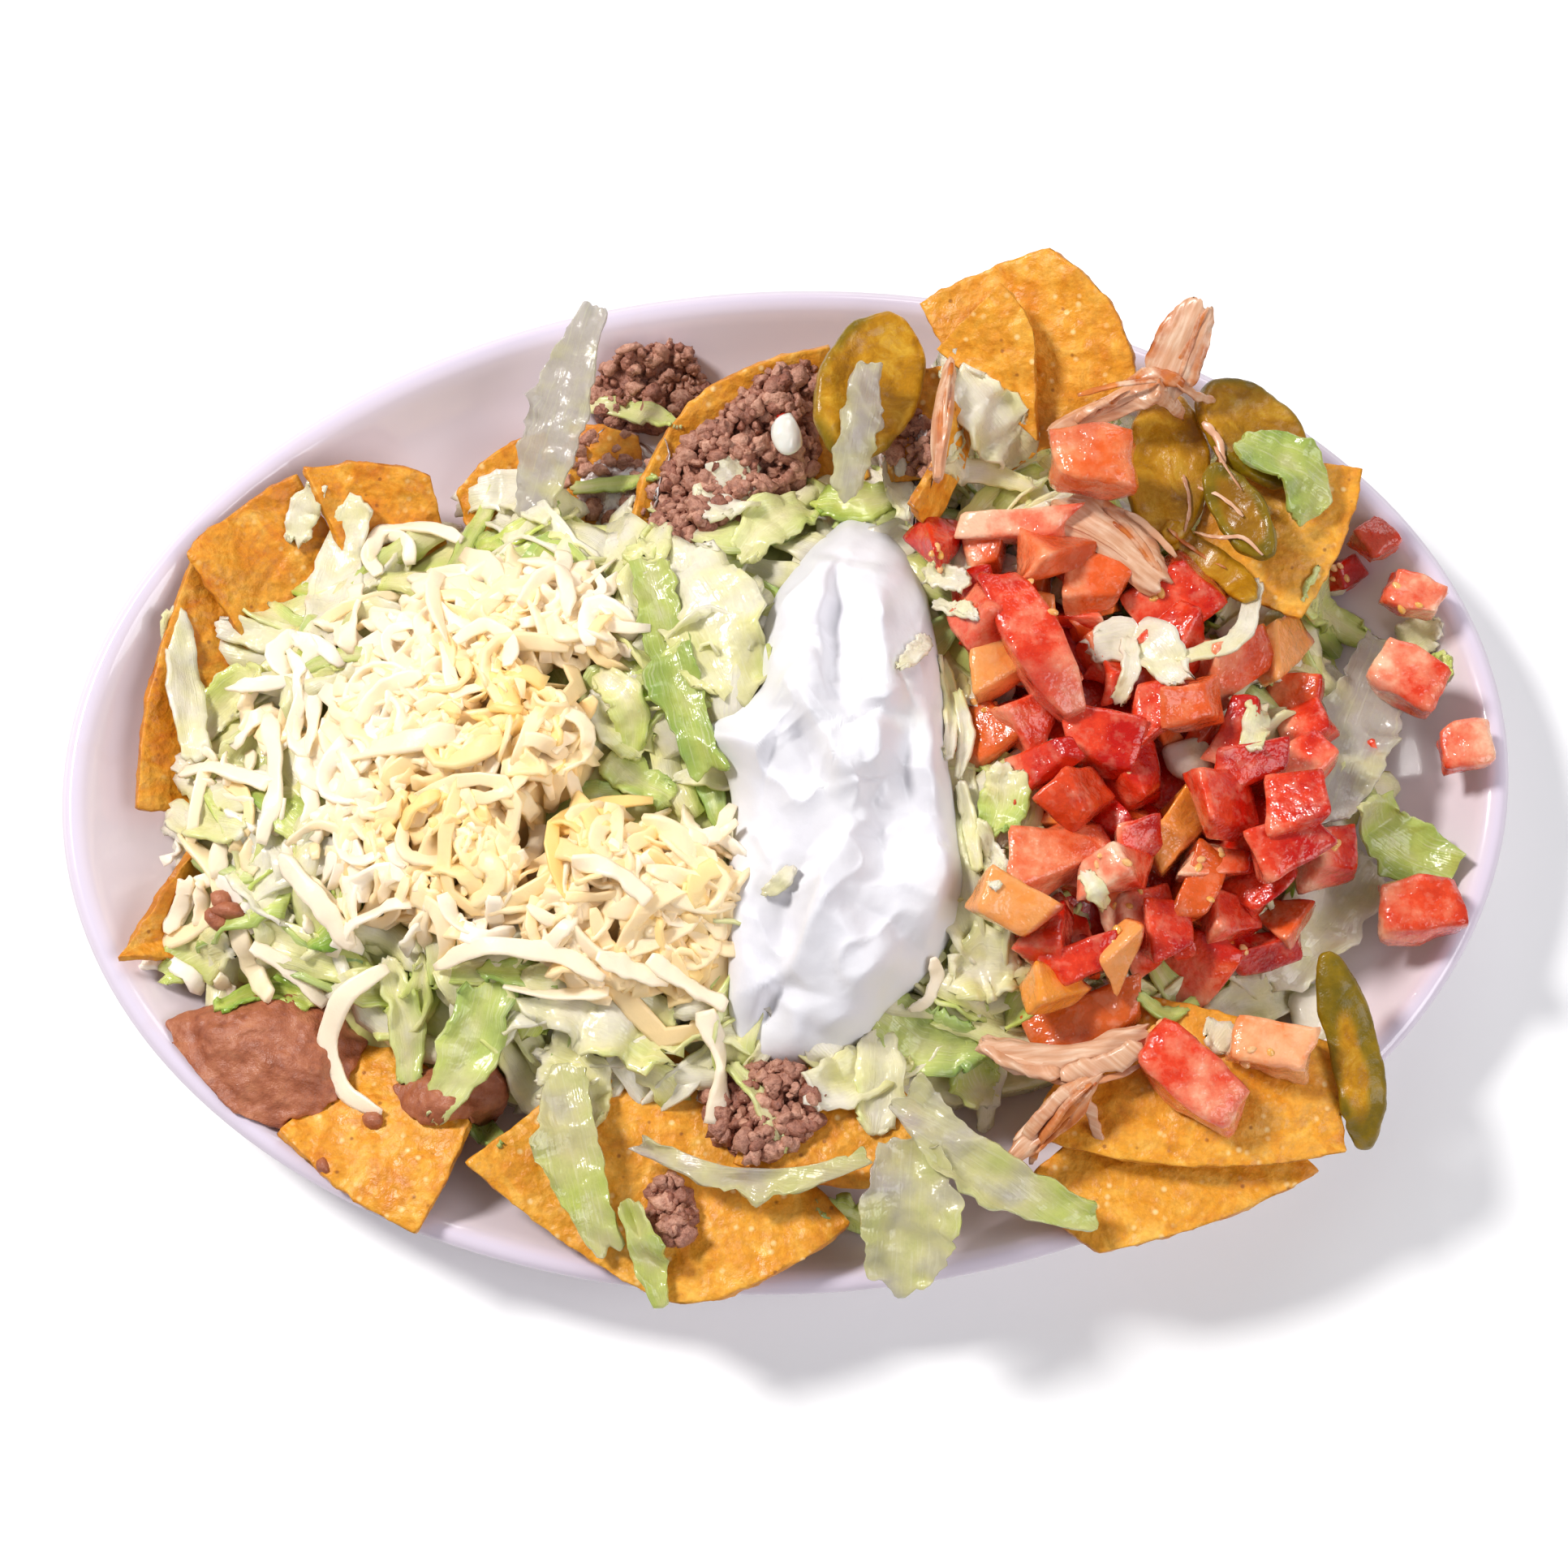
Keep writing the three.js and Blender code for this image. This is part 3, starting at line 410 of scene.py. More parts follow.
def smooth_node(name, levels=3, sharp=0.8):
    """A CAD node's form subdivided into points and quads. Edges that turn by more than sharp are kept."""
    form = node_form(name)
    bmesh.ops.join_triangles(form, faces=form.faces, angle_face_threshold=0.5, angle_shape_threshold=1.2)
    crease = form.edges.layers.float.new("crease_edge")
    hold = form.verts.layers.float.new("crease_vert")
    for edge in form.edges:
        if len(edge.link_faces) == 2 and edge.calc_face_angle() > sharp:
            edge[crease] = EDGE_HOLD
    for vert in form.verts:
        arms = [(e.other_vert(vert).co - vert.co).normalized() for e in vert.link_edges if e[crease] > 0]
        if len(arms) == 3 and all(a.dot(b) > NEARLY_STRAIGHT for a in arms for b in arms if a is not b):
            vert[hold] = CORNER_HOLD
    mesh = bpy.data.meshes.new("smoothing")
    form.to_mesh(mesh)
    form.free()
    carrier = bpy.data.objects.new("smoothing", mesh)
    bpy.context.scene.collection.objects.link(carrier)
    modifier = carrier.modifiers.new("smooth", "SUBSURF")
    modifier.levels = modifier.render_levels = levels
    result = carrier.evaluated_get(bpy.context.evaluated_depsgraph_get()).to_mesh()
    points = np.empty(len(result.vertices) * 3)
    result.vertices.foreach_get("co", points)
    corners = np.empty(len(result.loops), int)
    result.loops.foreach_get("vertex_index", corners)
    bpy.data.objects.remove(carrier)
    bpy.data.meshes.remove(mesh)
    return points.reshape(-1, 3) / MM, corners.reshape(-1, 4)


def normals_of(points, quads):
    """Unit normals at the points of a form of quads."""
    face = np.cross(points[quads[:, 2]] - points[quads[:, 0]], points[quads[:, 3]] - points[quads[:, 1]])
    normal = np.zeros_like(points)
    for k in range(4):
        np.add.at(normal, quads[:, k], face)
    return unit(normal)


def pushed(points, quads, amount):
    """Points moved out along their normals, each by its own amount."""
    return points + normals_of(points, quads) * amount[:, None]


def own_axes(points):
    """A form's centre, its axes from its longest to its shortest, and its points measured along them."""
    centre = points.mean(axis=0)
    axes = np.linalg.svd(points - centre, full_matrices=False)[2]
    return centre, axes, (points - centre) @ axes.T


def finish_form(name, form, material, slot, nodes=(), **values):
    """Makes one form a piece of its own."""
    pile = Pile()
    pile.add(form, **values)
    pile.finish(name, material, slot, nodes)
    return form


# ---------------------------------------------------------------- the ground that loose pieces lie on


class Ground:
    """The top of all that is laid down, in cells of 1 mm."""

    HALF_X, HALF_Y = 165, 122
    ABOVE_ALL = 200

    def __init__(self, names):
        points, triangles = [], []
        for name in names:
            node, faces = node_points(name)
            triangles += [[k + len(points) for k in face] for face in faces]
            points += node.tolist()
        tree = BVHTree.FromPolygons(points, triangles)
        self.cells = np.zeros((2 * self.HALF_X + 1, 2 * self.HALF_Y + 1))
        for i in range(self.cells.shape[0]):
            for j in range(self.cells.shape[1]):
                over = Vector((i - self.HALF_X, j - self.HALF_Y, self.ABOVE_ALL))
                hit = tree.ray_cast(over, Vector((0, 0, -1)))[0]
                self.cells[i, j] = hit.z if hit else 0
        self.settle()

    def settle(self, reach=2):
        """Renews the smoothed heights that at() reads."""
        smooth = self.cells
        for axis in (0, 1):
            smooth = sum(np.roll(smooth, k, axis) for k in range(-reach, reach + 1)) / (2 * reach + 1)
        self.smooth = smooth

    def index(self, x, y):
        i = np.clip(np.round(x).astype(int) + self.HALF_X, 0, 2 * self.HALF_X)
        j = np.clip(np.round(y).astype(int) + self.HALF_Y, 0, 2 * self.HALF_Y)
        return i, j

    def at(self, x, y):
        """The smoothed height at places."""
        return self.smooth[self.index(np.asarray(x, float), np.asarray(y, float))]

    def top(self, x, y):
        """The height at places as it is laid."""
        return self.cells[self.index(np.asarray(x, float), np.asarray(y, float))]

    def cover(self, form, steps=2):
        """Lays a form down: its faces are sampled in steps along each side."""
        points, quads, _ = form
        corners = points[quads]
        for u, v in np.ndindex(steps, steps):
            u, v = u / steps, v / steps
            place = mix(mix(corners[:, 0], corners[:, 1], u), mix(corners[:, 3], corners[:, 2], u), v)
            np.maximum.at(self.cells, self.index(place[:, 0], place[:, 1]), place[:, 2])

    def seen(self, px, py, lift=0.0):
        """Where the ground lies under a pixel of the photograph."""
        return seen_on(self.at, px, py, 40, lift)

    def path(self, pixels, lift=0.0):
        return np.array([self.seen(px, py, lift) for px, py in pixels])


# ---------------------------------------------------------------- materials


def rgb(red, green, blue):
    """A colour given as it looks on a screen."""
    linear = [((c / 255 + 0.055) / 1.055) ** 2.4 if c > 10 else c / 255 / 12.92 for c in (red, green, blue)]
    return (*linear, 1.0)


class Paint:
    """A Principled material, with short calls for the nodes used here. Sizes are in millimetres."""

    def __init__(self, name, **fixed):
        self.material = bpy.data.materials.new(name)
        self.material.use_nodes = True
        self.tree = self.material.node_tree
        self.shader = self.tree.nodes["Principled BSDF"]
        self.shader.subsurface_method = "BURLEY"
        self.place = self.make("ShaderNodeTexCoord").outputs["Object"]
        for words, value in fixed.items():
            self.shader.inputs[words.replace("_", " ").title().replace("Ior", "IOR")].default_value = value

    def make(self, kind, inputs=None, **settings):
        node = self.tree.nodes.new(kind)
        for key, value in settings.items():
            setattr(node, key, value)
        for key, value in (inputs or {}).items():
            self.put(value, node.inputs[key])
        return node

    def put(self, value, socket):
        if isinstance(value, bpy.types.NodeSocket):
            self.tree.links.new(value, socket)
        else:
            socket.default_value = value

    def wire(self, **links):
        for words, value in links.items():
            self.put(value, self.shader.inputs[words.replace("_", " ").title()])

    def stretched(self, turn, scale):
        sockets = {"Vector": self.place, "Rotation": (0, 0, turn), "Scale": scale}
        return self.make("ShaderNodeMapping", sockets).outputs[0]

    def noise(self, size, detail, rough=0.55, distort=0.0, place=None):
        sockets = {"Vector": place or self.place, "Scale": 1 / (size * MM), "Detail": detail}
        sockets |= {"Roughness": rough, "Distortion": distort}
        return self.make("ShaderNodeTexNoise", sockets).outputs["Fac"]

    def spots(self, size):
        sockets = {"Vector": self.place, "Scale": 1 / (size * MM)}
        return self.make("ShaderNodeTexVoronoi", sockets).outputs["Distance"]

    def value(self, name):
        return self.make("ShaderNodeAttribute", attribute_name=name).outputs["Fac"]

    def ramp(self, factor, *stops):
        node = self.make("ShaderNodeValToRGB", {"Fac": factor})
        elements = node.color_ramp.elements
        while len(elements) < len(stops):
            elements.new(0.5)
        for element, (position, color) in zip(elements, stops):
            element.position = position
            element.color = color if isinstance(color, tuple) else (color, color, color, 1)
        return node.outputs["Color"]

    def between(self, factor, low, high):
        """Runs from low to high over the middle of a factor, where most of a noise lies."""
        return self.ramp(factor, (0.3, low), (0.7, high))

    def mix(self, factor, a, b, blend="MIX"):
        node = self.make("ShaderNodeMix", data_type="RGBA", blend_type=blend)
        for value, socket in ((factor, node.inputs[0]), (a, node.inputs[6]), (b, node.inputs[7])):
            self.put(value, socket)
        return node.outputs[2]

    def math(self, operation, a, b, clamp=False):
        node = self.make("ShaderNodeMath", operation=operation, use_clamp=clamp)
        self.put(a, node.inputs[0])
        self.put(b, node.inputs[1])
        return node.outputs[0]

    def bump(self, height, depth, strength, under=None):
        sockets = {"Height": height, "Distance": depth * MM, "Strength": strength}
        if under:
            sockets["Normal"] = under
        return self.make("ShaderNodeBump", sockets).outputs["Normal"]


def soaked(weight, scale, radius=(1.0, 0.2, 0.1)):
    """The inputs of a Paint for light that sinks in and comes out again nearby. scale is in metres."""
    return {"subsurface_weight": weight, "subsurface_scale": scale, "subsurface_radius": radius}


def glaze_material():
    """White glaze, painted greyer on the rim as the shade of the lip's outer slope, with faint smears."""
    p = Paint("glaze", roughness=0.16, coat_weight=0.5, coat_roughness=0.05, ior=1.5)
    height = p.make("ShaderNodeSeparateXYZ", {"Vector": p.place}).outputs["Z"]
    # painted shade: the lip, picked out by its height, is coloured a darker, bluer grey
    rim = p.ramp(p.math("DIVIDE", height, 0.0255), (0.86, 0.0), (0.97, 1.0))
    body = p.between(p.noise(55, 2), rgb(224, 210, 217), rgb(232, 218, 225))
    edge = p.mix(rim, body, rgb(216, 206, 226))
    smear = p.ramp(p.noise(18, 4, 0.6), (0.62, 0.0), (0.8, 0.25))
    p.wire(base_color=p.mix(smear, edge, rgb(214, 188, 178)))
    p.wire(normal=p.bump(p.noise(9, 2), 0.12, 0.25))
    return p.material


def corn_material():
    """Fried tortilla: tone runs from deep orange and oily to pale gold, and shade marks the cut rim."""
    p = Paint("corn", ior=1.45)
    tone = p.value("tone")
    blotch = p.noise(6.5, 5, 0.62, 0.8)
    golden = p.ramp(blotch, (0.32, rgb(220, 138, 24)), (0.5, rgb(234, 160, 42)), (0.68, rgb(246, 184, 74)))
    oily = [(0.3, rgb(196, 100, 10)), (0.47, rgb(216, 132, 22)), (0.62, rgb(230, 158, 46))]
    deep = p.ramp(blotch, *oily, (0.75, rgb(242, 188, 92)))
    skin = p.mix(tone, deep, golden)
    grain = p.ramp(p.noise(1.5, 3, 0.7), (0.35, 0.84), (0.65, 1.06))
    grained = p.mix(1.0, skin, grain, "MULTIPLY")
    fleck = p.ramp(p.spots(3.0), (0.1, 1.0), (0.26, 0.0))
    fleck = p.math("MULTIPLY", fleck, p.ramp(p.noise(7, 2), (0.42, 0.0), (0.56, 0.85)))
    fleck = p.math("MULTIPLY", fleck, p.ramp(tone, (0.1, 0.15), (0.7, 1.0)))
    flecked = p.mix(fleck, grained, rgb(251, 214, 146))
    speck = p.ramp(p.spots(5.3), (0.05, 0.8), (0.11, 0.0))
    specked = p.mix(p.math("MULTIPLY", speck, 0.8), flecked, rgb(124, 60, 16))
    scorch = p.math("MULTIPLY", p.value("shade"), p.ramp(p.noise(6, 3), (0.35, 0.3), (0.6, 1.0)))
    p.wire(base_color=p.mix(scorch, specked, rgb(166, 88, 22)))
    p.wire(roughness=p.between(p.noise(5, 3), 0.34, 0.6))
    blister = p.bump(p.spots(2.6), 0.6, 0.6)
    p.wire(normal=p.bump(p.noise(5, 4, 0.65), 0.8, 0.9, blister))
    return p.material


def beans_material():
    """Mashed bean with darker hulls in it."""
    p = Paint("beans")
    tints = [(0.3, rgb(138, 72, 44)), (0.5, rgb(168, 97, 65)), (0.72, rgb(192, 124, 88))]
    skin = p.ramp(p.noise(5, 5, 0.65), *tints)
    hull = p.ramp(p.spots(4.2), (0.1, 0.7), (0.24, 0.0))
    p.wire(base_color=p.mix(p.math("MULTIPLY", hull, 0.6), skin, rgb(122, 58, 42)))
    p.wire(roughness=p.between(p.noise(3, 3), 0.3, 0.55))
    p.wire(normal=p.bump(p.noise(3.2, 5, 0.65), 0.9, 0.9))
    return p.material


def beef_material():
    """Fried mince: tone runs from brown to pale."""
    p = Paint("beef")
    tone = p.value("tone")
    grain = p.noise(1.2, 3, 0.65)
    dark = p.between(grain, rgb(118, 66, 50), rgb(174, 112, 90))
    pale = p.between(grain, rgb(182, 124, 100), rgb(228, 176, 150))
    p.wire(base_color=p.mix(tone, dark, pale))
    p.wire(roughness=p.between(grain, 0.38, 0.62))
    p.wire(normal=p.bump(grain, 0.7, 1.0))
    return p.material


def cheese_material():
    """Shredded cheese: tone runs from pale yellow to creamy white, and shade marks what lies deep, painted a
    darker yellow as the shade between the shreds.
    """
    p = Paint("cheese", roughness=0.34, ior=1.4, **soaked(0.4, 0.004, (1.0, 0.8, 0.45)))
    tone = p.value("tone")
    curd = p.mix(tone, rgb(247, 212, 136), rgb(250, 238, 219))
    # painted shade: what lies deep is coloured a darker yellow, for the shade between the shreds
    depth = p.mix(p.value("shade"), curd, rgb(240, 192, 102))
    p.wire(base_color=p.mix(1.0, depth, p.between(p.noise(3, 2), 0.96, 1.0), "MULTIPLY"))
    p.wire(normal=p.bump(p.noise(1.6, 3, 0.7), 0.25, 0.5))
    return p.material


def cream_material():
    """Sour cream: nearly white, cooler in places and warmer in others."""
    p = Paint("sour_cream", coat_weight=0.15, coat_roughness=0.25)
    tints = [(0.3, rgb(228, 226, 232)), (0.6, rgb(234, 232, 235)), (0.8, rgb(238, 233, 222))]
    p.wire(base_color=p.ramp(p.noise(22, 3), *tints))
    p.wire(roughness=p.between(p.noise(6, 3), 0.3, 0.48))
    p.wire(normal=p.bump(p.noise(4, 4, 0.55), 0.35, 0.4))
    return p.material


def queso_material():
    """Thin melted cheese over mince: off-white, with the meat's brown where it is thin."""
    p = Paint("queso", coat_weight=0.4, coat_roughness=0.15)
    tints = [(0.34, rgb(132, 92, 78)), (0.46, rgb(186, 158, 150)), (0.58, rgb(232, 226, 224))]
    p.wire(base_color=p.ramp(p.noise(3.6, 4, 0.6, 0.6), *tints))
    p.wire(roughness=p.between(p.noise(5, 3), 0.22, 0.45))
    p.wire(normal=p.bump(p.noise(2.2, 3, 0.6), 0.5, 0.8))
    return p.material


def leaf_material(name, pale, clear, light):
    """Iceberg lettuce: watery white at the rib and green where shade is high, ribbed along its length.

    clear is how opaque its palest parts are, and light how much of its colour is kept."""
    p = Paint(name, ior=1.35, coat_weight=0.7, coat_roughness=0.06, **soaked(0.25, 0.004, (0.9, 1.0, 0.4)))
    drift = p.between(p.noise(11, 3, 0.5), 0.0, 0.3)
    patchy = p.math("SUBTRACT", p.math("ADD", p.value("shade"), drift), 0.15, clamp=True)
    greens = [(0.22, rgb(226, 219, 154)), (0.5, rgb(194, 205, 92)), (1.0, rgb(124, 164, 40))]
    blade = p.ramp(patchy, (0.0, pale), *greens)
    milky = p.mix(p.math("MULTIPLY", p.value("tone"), 0.2), blade, rgb(240, 234, 222))
    across = p.math("MULTIPLY", p.value("across"), 5.0)
    lines = p.make("ShaderNodeCombineXYZ", {"X": across, "Y": p.value("along")}).outputs[0]
    rib = {"Vector": lines, "Scale": 3.0, "Detail": 3.0}
    streak = p.make("ShaderNodeTexNoise", rib).outputs["Fac"]
    veined = p.mix(p.ramp(streak, (0.55, 0.0), (0.66, 0.35)), milky, rgb(240, 236, 196))
    grain = p.between(p.noise(4, 2), 0.92 * light, light)
    p.wire(base_color=p.mix(1.0, veined, grain, "MULTIPLY"))
    if clear < 1:
        p.wire(alpha=p.ramp(patchy, (0.0, clear), (0.5, 1.0)))
    crinkle = p.noise(4.5, 3)
    p.wire(roughness=p.ramp(crinkle, (0.35, 0.2), (0.65, 0.4)))
    relief = p.bump(p.math("ADD", crinkle, p.math("MULTIPLY", streak, 0.3)), 0.9, 0.6)
    p.wire(normal=relief, coat_normal=relief)
    return p.material


def tomato_material():
    """Wet tomato: tone runs from pale pink to red.

    shade marks the side with the skin, spot the seeds, and along how orange it is."""
    wet = {"coat_weight": 1.0, "coat_roughness": 0.05, "coat_ior": 1.36}
    p = Paint("tomato", ior=1.33, **wet, **soaked(0.2, 0.003, (1.0, 0.3, 0.15)))
    drift = p.between(p.noise(6, 4, 0.6), 0.0, 0.55)
    tone = p.math("SUBTRACT", p.math("ADD", p.value("tone"), drift), 0.3, clamp=True)
    reds = [(0.28, rgb(234, 132, 98)), (0.6, rgb(222, 62, 30)), (1.0, rgb(184, 14, 2))]
    flesh = p.ramp(tone, (0.0, rgb(242, 192, 158)), *reds)
    orange = p.mix(p.value("along"), flesh, rgb(238, 148, 52))
    flow = p.noise(3.2, 3, 0.6)
    fibre = p.ramp(flow, (0.5, 0.0), (0.75, 0.22))
    streaked = p.mix(fibre, orange, rgb(246, 196, 160))
    skinned = p.mix(p.math("MULTIPLY", p.value("shade"), 0.85), streaked, rgb(182, 18, 4))
    p.wire(base_color=p.mix(p.value("spot"), skinned, rgb(226, 166, 72)))
    p.wire(roughness=p.ramp(flow, (0.35, 0.16), (0.65, 0.34)))
    relief = p.bump(flow, 0.7, 0.7)
    p.wire(normal=relief, coat_normal=p.bump(p.noise(1.5, 1), 0.5, 0.8, relief))
    return p.material


def jalapeno_material():
    """Pickled pepper: shade runs from the flesh in the middle to the skin round it, and tone darkens it."""
    p = Paint("jalapeno", roughness=0.34, ior=1.36, coat_weight=0.15, coat_roughness=0.08)
    olives = [(0.32, rgb(158, 104, 4)), (0.5, rgb(190, 132, 14)), (0.7, rgb(214, 166, 52))]
    flesh = p.ramp(p.noise(5, 5, 0.65, 0.8), *olives)
    deep = p.mix(p.value("tone"), flesh, rgb(126, 84, 4))
    skin = p.between(p.noise(4, 3), rgb(104, 86, 4), rgb(142, 112, 8))
    p.wire(base_color=p.mix(p.ramp(p.value("shade"), (0.82, 0.0), (1.0, 1.0)), deep, skin))
    p.wire(normal=p.bump(p.noise(4, 4, 0.6), 0.8, 0.8))
    return p.material


def onion_material():
    """Raw white onion: glossy, with faint lines along its layers."""
    p = Paint("onion", roughness=0.2, coat_weight=0.6, coat_roughness=0.06, **soaked(0.3, 0.004))
    body = p.between(p.noise(6, 3), rgb(226, 222, 208), rgb(240, 238, 232))
    line = p.ramp(p.noise(2.2, 3, place=p.stretched(0.9, (1, 0.25, 1))), (0.5, 0.0), (0.7, 0.3))
    p.wire(base_color=p.mix(line, body, rgb(216, 212, 186)))
    p.wire(normal=p.bump(p.noise(3, 2), 0.3, 0.5))
    return p.material


def chicken_material():
    """Pulled chicken: pale meat, with red sauce on it where shade is high."""
    p = Paint("chicken", coat_weight=0.25, coat_roughness=0.15)
    lines = p.make("ShaderNodeCombineXYZ", {"X": p.value("across"), "Y": p.value("along")}).outputs[0]
    fibre = p.make("ShaderNodeTexNoise", {"Vector": lines, "Scale": 1.0, "Detail": 4.0}).outputs["Fac"]
    meat = p.ramp(fibre, (0.3, rgb(200, 148, 110)), (0.48, rgb(217, 172, 138)), (0.66, rgb(232, 198, 168)))
    sauce = p.between(p.noise(4, 3), rgb(168, 74, 14), rgb(214, 124, 46))
    stain = p.math("MULTIPLY", p.value("shade"), p.ramp(p.noise(5, 4), (0.38, 0.1), (0.54, 1.0)))
    p.wire(base_color=p.mix(stain, meat, sauce))
    p.wire(roughness=p.between(p.noise(3, 3), 0.3, 0.55))
    p.wire(normal=p.bump(fibre, 0.3, 0.7))
    return p.material


# ---------------------------------------------------------------- plate

HALF_LENGTH, HALF_WIDTH = 159.0, 114.5

# Sections of the plate as (inset from the rim, height): its upper side from the well out, its under side in.
PLATE_TOP = [
    (110, 5.2), (70, 5.2), (42, 5.2), (27, 8), (14, 14.2), (6, 21.6), (4, 23.6), (2.2, 24), (0.7, 23.4),
]
PLATE_UNDER = [
    (0, 22), (3, 18), (11, 11), (25, 5), (42, 2), (46, 0), (52, 0), (54, 1.6), (70, 1.8), (110, 1.8),
]
PLATE_RINGS, PLATE_SIDES = 84, 180


def make_plate():
    section = spline([(a, z, 0) for a, z in PLATE_TOP + PLATE_UNDER], np.linspace(0, 1, PLATE_RINGS))
    angle = np.linspace(0, 2 * math.pi, PLATE_SIDES, endpoint=False)
    rings = []
    for inset, z, _ in np.maximum(section, 0):
        x, y = (HALF_LENGTH - inset) * np.cos(angle), (HALF_WIDTH - inset) * np.sin(angle)
        rings.append(np.stack([x, y, np.full_like(x, z)], 1))
    finish_form("glazed_plate", skin_rings(rings), glaze_material(), "glaze", ["plate"])


# ---------------------------------------------------------------- tortilla chips

# How golden each chip is: 0 is deep orange and oily, 1 is pale gold.
CHIP_TONES = {
    "chip_left_tall": 0.25,
    "chip_left_upper": 0.3,
    "chip_left_top": 0.45,
    "chip_left_small": 0.3,
    "chip_back_left": 0.7,
    "chip_back_mid": 0.5,
    "chip_lower_left": 0.65,
    "chip_bottom": 0.95,
    "chip_bottom_back": 0.7,
    "chip_right_lower": 0.8,
    "chip_right_upper": 0.85,
    "chip_shell": 1.0,
    "chip_top_small": 0.8,
    "chip_high_back": 0.75,
    "chip_high_front": 0.8,
    "chip_edge_on": 0.45,
    "chip_right": 0.9,
}


def make_chips():
    corn = corn_material()
    for seed, (name, tone) in enumerate(CHIP_TONES.items()):
        points, quads = smooth_node(name)
        centre, axes, _ = own_axes(points)
        flat = axes[2]
        rim = clipped(1.25 - 1.6 * np.abs(normals_of(points, quads) @ flat))
        outward = unit(points - centre - np.outer((points - centre) @ flat, flat))
        ripple = 0.8 * waves(points, 16, 2, seed) + 0.35 * waves(points, 5, 2, seed)
        blister = 1.1 * clipped(waves(points, 7, 2, seed + 40) - 0.12)
        points = points + flat * (ripple + np.sign(flat[2]) * blister)[:, None]
        points += outward * (rim * 0.8 * waves(points, 4, 3, seed + 9))[:, None]
        gold = clipped(tone + 0.3 * waves(points, 24, 2, seed))
        finish_form("tortilla_" + name, (points, quads, []), corn, "corn", [name], tone=gold, shade=rim * 0.6)


# ---------------------------------------------------------------- heaps

MOUND_OUTLINE = [
    (-135, -5), (-129, 28), (-114, 52), (-90, 61), (-56, 64), (-30, 60), (-5, 68), (30, 70), (63, 72),
    (94, 60), (118, 42), (131, 15), (130, -12), (122, -40), (104, -62), (72, -70), (34, -76), (-6, -80),
    (-45, -78), (-76, -68), (-97, -58), (-105, -46), (-128, -40), (-136, -22),
]
# The steep back of the mound, under the high chips.
MOUND_BACK = [(8, 60), (30, 74), (63, 78), (98, 66), (122, 46), (112, 38), (90, 54), (60, 65), (30, 63)]
CHEESE_OUTLINE = [
    (-99, -10), (-96, 15), (-86, 36), (-70, 48), (-49, 47), (-32, 34), (-31, 8), (-20, -6), (-12, -22),
    (-13, -46), (-22, -56), (-38, -53), (-57, -44), (-79, -41), (-93, -30),
]
SALSA_OUTLINE = [
    (34, 38), (43, 50), (58, 50), (73, 37), (92, 30), (104, 17), (112, -2), (112, -24), (108, -41), (95, -52),
    (76, -60), (60, -66), (49, -58), (44, -38), (50, -22), (41, -5), (43, 17),
]


def dome(share, power=2.2):
    """The rounded fall of a heap from its middle, at 0, to its edge, at 1."""
    return clipped(1 - share**power) ** 0.7


def mound_top(x, y):
    """The lettuce mound's top, which the cheese, the cream and the tomato follow."""
    share = np.hypot((x + 4) / 136, (y + 5) / 78)
    shoulder = 15 * np.exp(-((x - 66) ** 2 + (y - 58) ** 2) / 26**2)
    lumps = np.sin(x / 11 + 1) * np.cos(y / 9) + np.sin((x + y) / 15)
    return mix(15, 45, dome(np.minimum(share, 1))) + shoulder + 0.8 * lumps


def below_mound(depth):
    """A bed that lies a depth under the mound's top."""
    return lambda x, y: mound_top(x, y) - depth


# The edge of the cream, as pixels of the photograph.
CREAM_EDGE = [
    (1050, 636), (1019, 657), (987, 690), (950, 745), (937, 792), (934, 850), (910, 872), (857, 909),
    (884, 934), (896, 965), (903, 1010), (897, 1070), (896, 1139), (898, 1200), (903, 1262),
    (927, 1297), (966, 1312), (1022, 1304), (1070, 1271), (1104, 1232), (1142, 1197), (1174, 1143),
    (1187, 1095), (1183, 1043), (1172, 961), (1165, 883), (1161, 835), (1152, 783), (1140, 727),
    (1118, 684), (1085, 648),
]
CREAM_OUTLINE = [tuple(seen_on(mound_top, px, py, 45, 3)[:2]) for px, py in CREAM_EDGE]


def closed_curve(outline, count):
    """Even places round a smooth closed curve through an outline."""
    lap = len(outline)
    laps = np.array([(*place, 0) for place in outline * 3], float)
    reach = np.concatenate([[0], np.cumsum(np.linalg.norm(np.diff(laps, axis=0), axis=1))])
    return spline(laps, np.linspace(reach[lap], reach[2 * lap], count, endpoint=False) / reach[-1])


def heap_form(outline, top, bed, sides=120, rings=40, inset=0.0, uneven=0.0, seed=0):
    """A heap over a closed outline: rings out along its top, and back in along its bed.

    top(x, y, share) and bed(x, y) give the heights. inset and uneven move its rim in, in mm."""
    rim = closed_curve(outline, sides)
    middle = rim.mean(axis=0)
    outward = unit(rim - middle)
    rim = rim - outward * (inset + uneven * waves(rim, 9, 2, seed))[:, None]
    loops = []
    for share in np.linspace(0, 1, rings + 1)[1:] ** 0.8:
        ring = mix(middle, rim, share)
        ring[:, 2] = top(ring[:, 0], ring[:, 1], share)
        loops.append(ring)
    for share in (1.0, 0.9, 0.6, 0.3):
        ring = mix(middle, rim, share)
        ring[:, 2] = np.minimum(bed(ring[:, 0], ring[:, 1]), top(ring[:, 0], ring[:, 1], share) - 0.3)
        loops.append(ring)
    return skin_rings(loops)


def scatter(outline, count, rng, keep_out=()):
    """Random places inside an outline and outside others."""
    low, high = np.min(outline, axis=0), np.max(outline, axis=0)
    places = []
    while len(places) < count:
        x, y = rng.uniform(low, high)
        if inside(outline, x, y) and not any(inside(other, x, y) for other in keep_out):
            places.append((x, y))
    return places


def shrunk(outline, by):
    """An outline drawn in towards its middle."""
    middle = np.mean(outline, axis=0)
    outline = np.asarray(outline, float)
    return (outline - unit(outline - middle) * by).tolist()


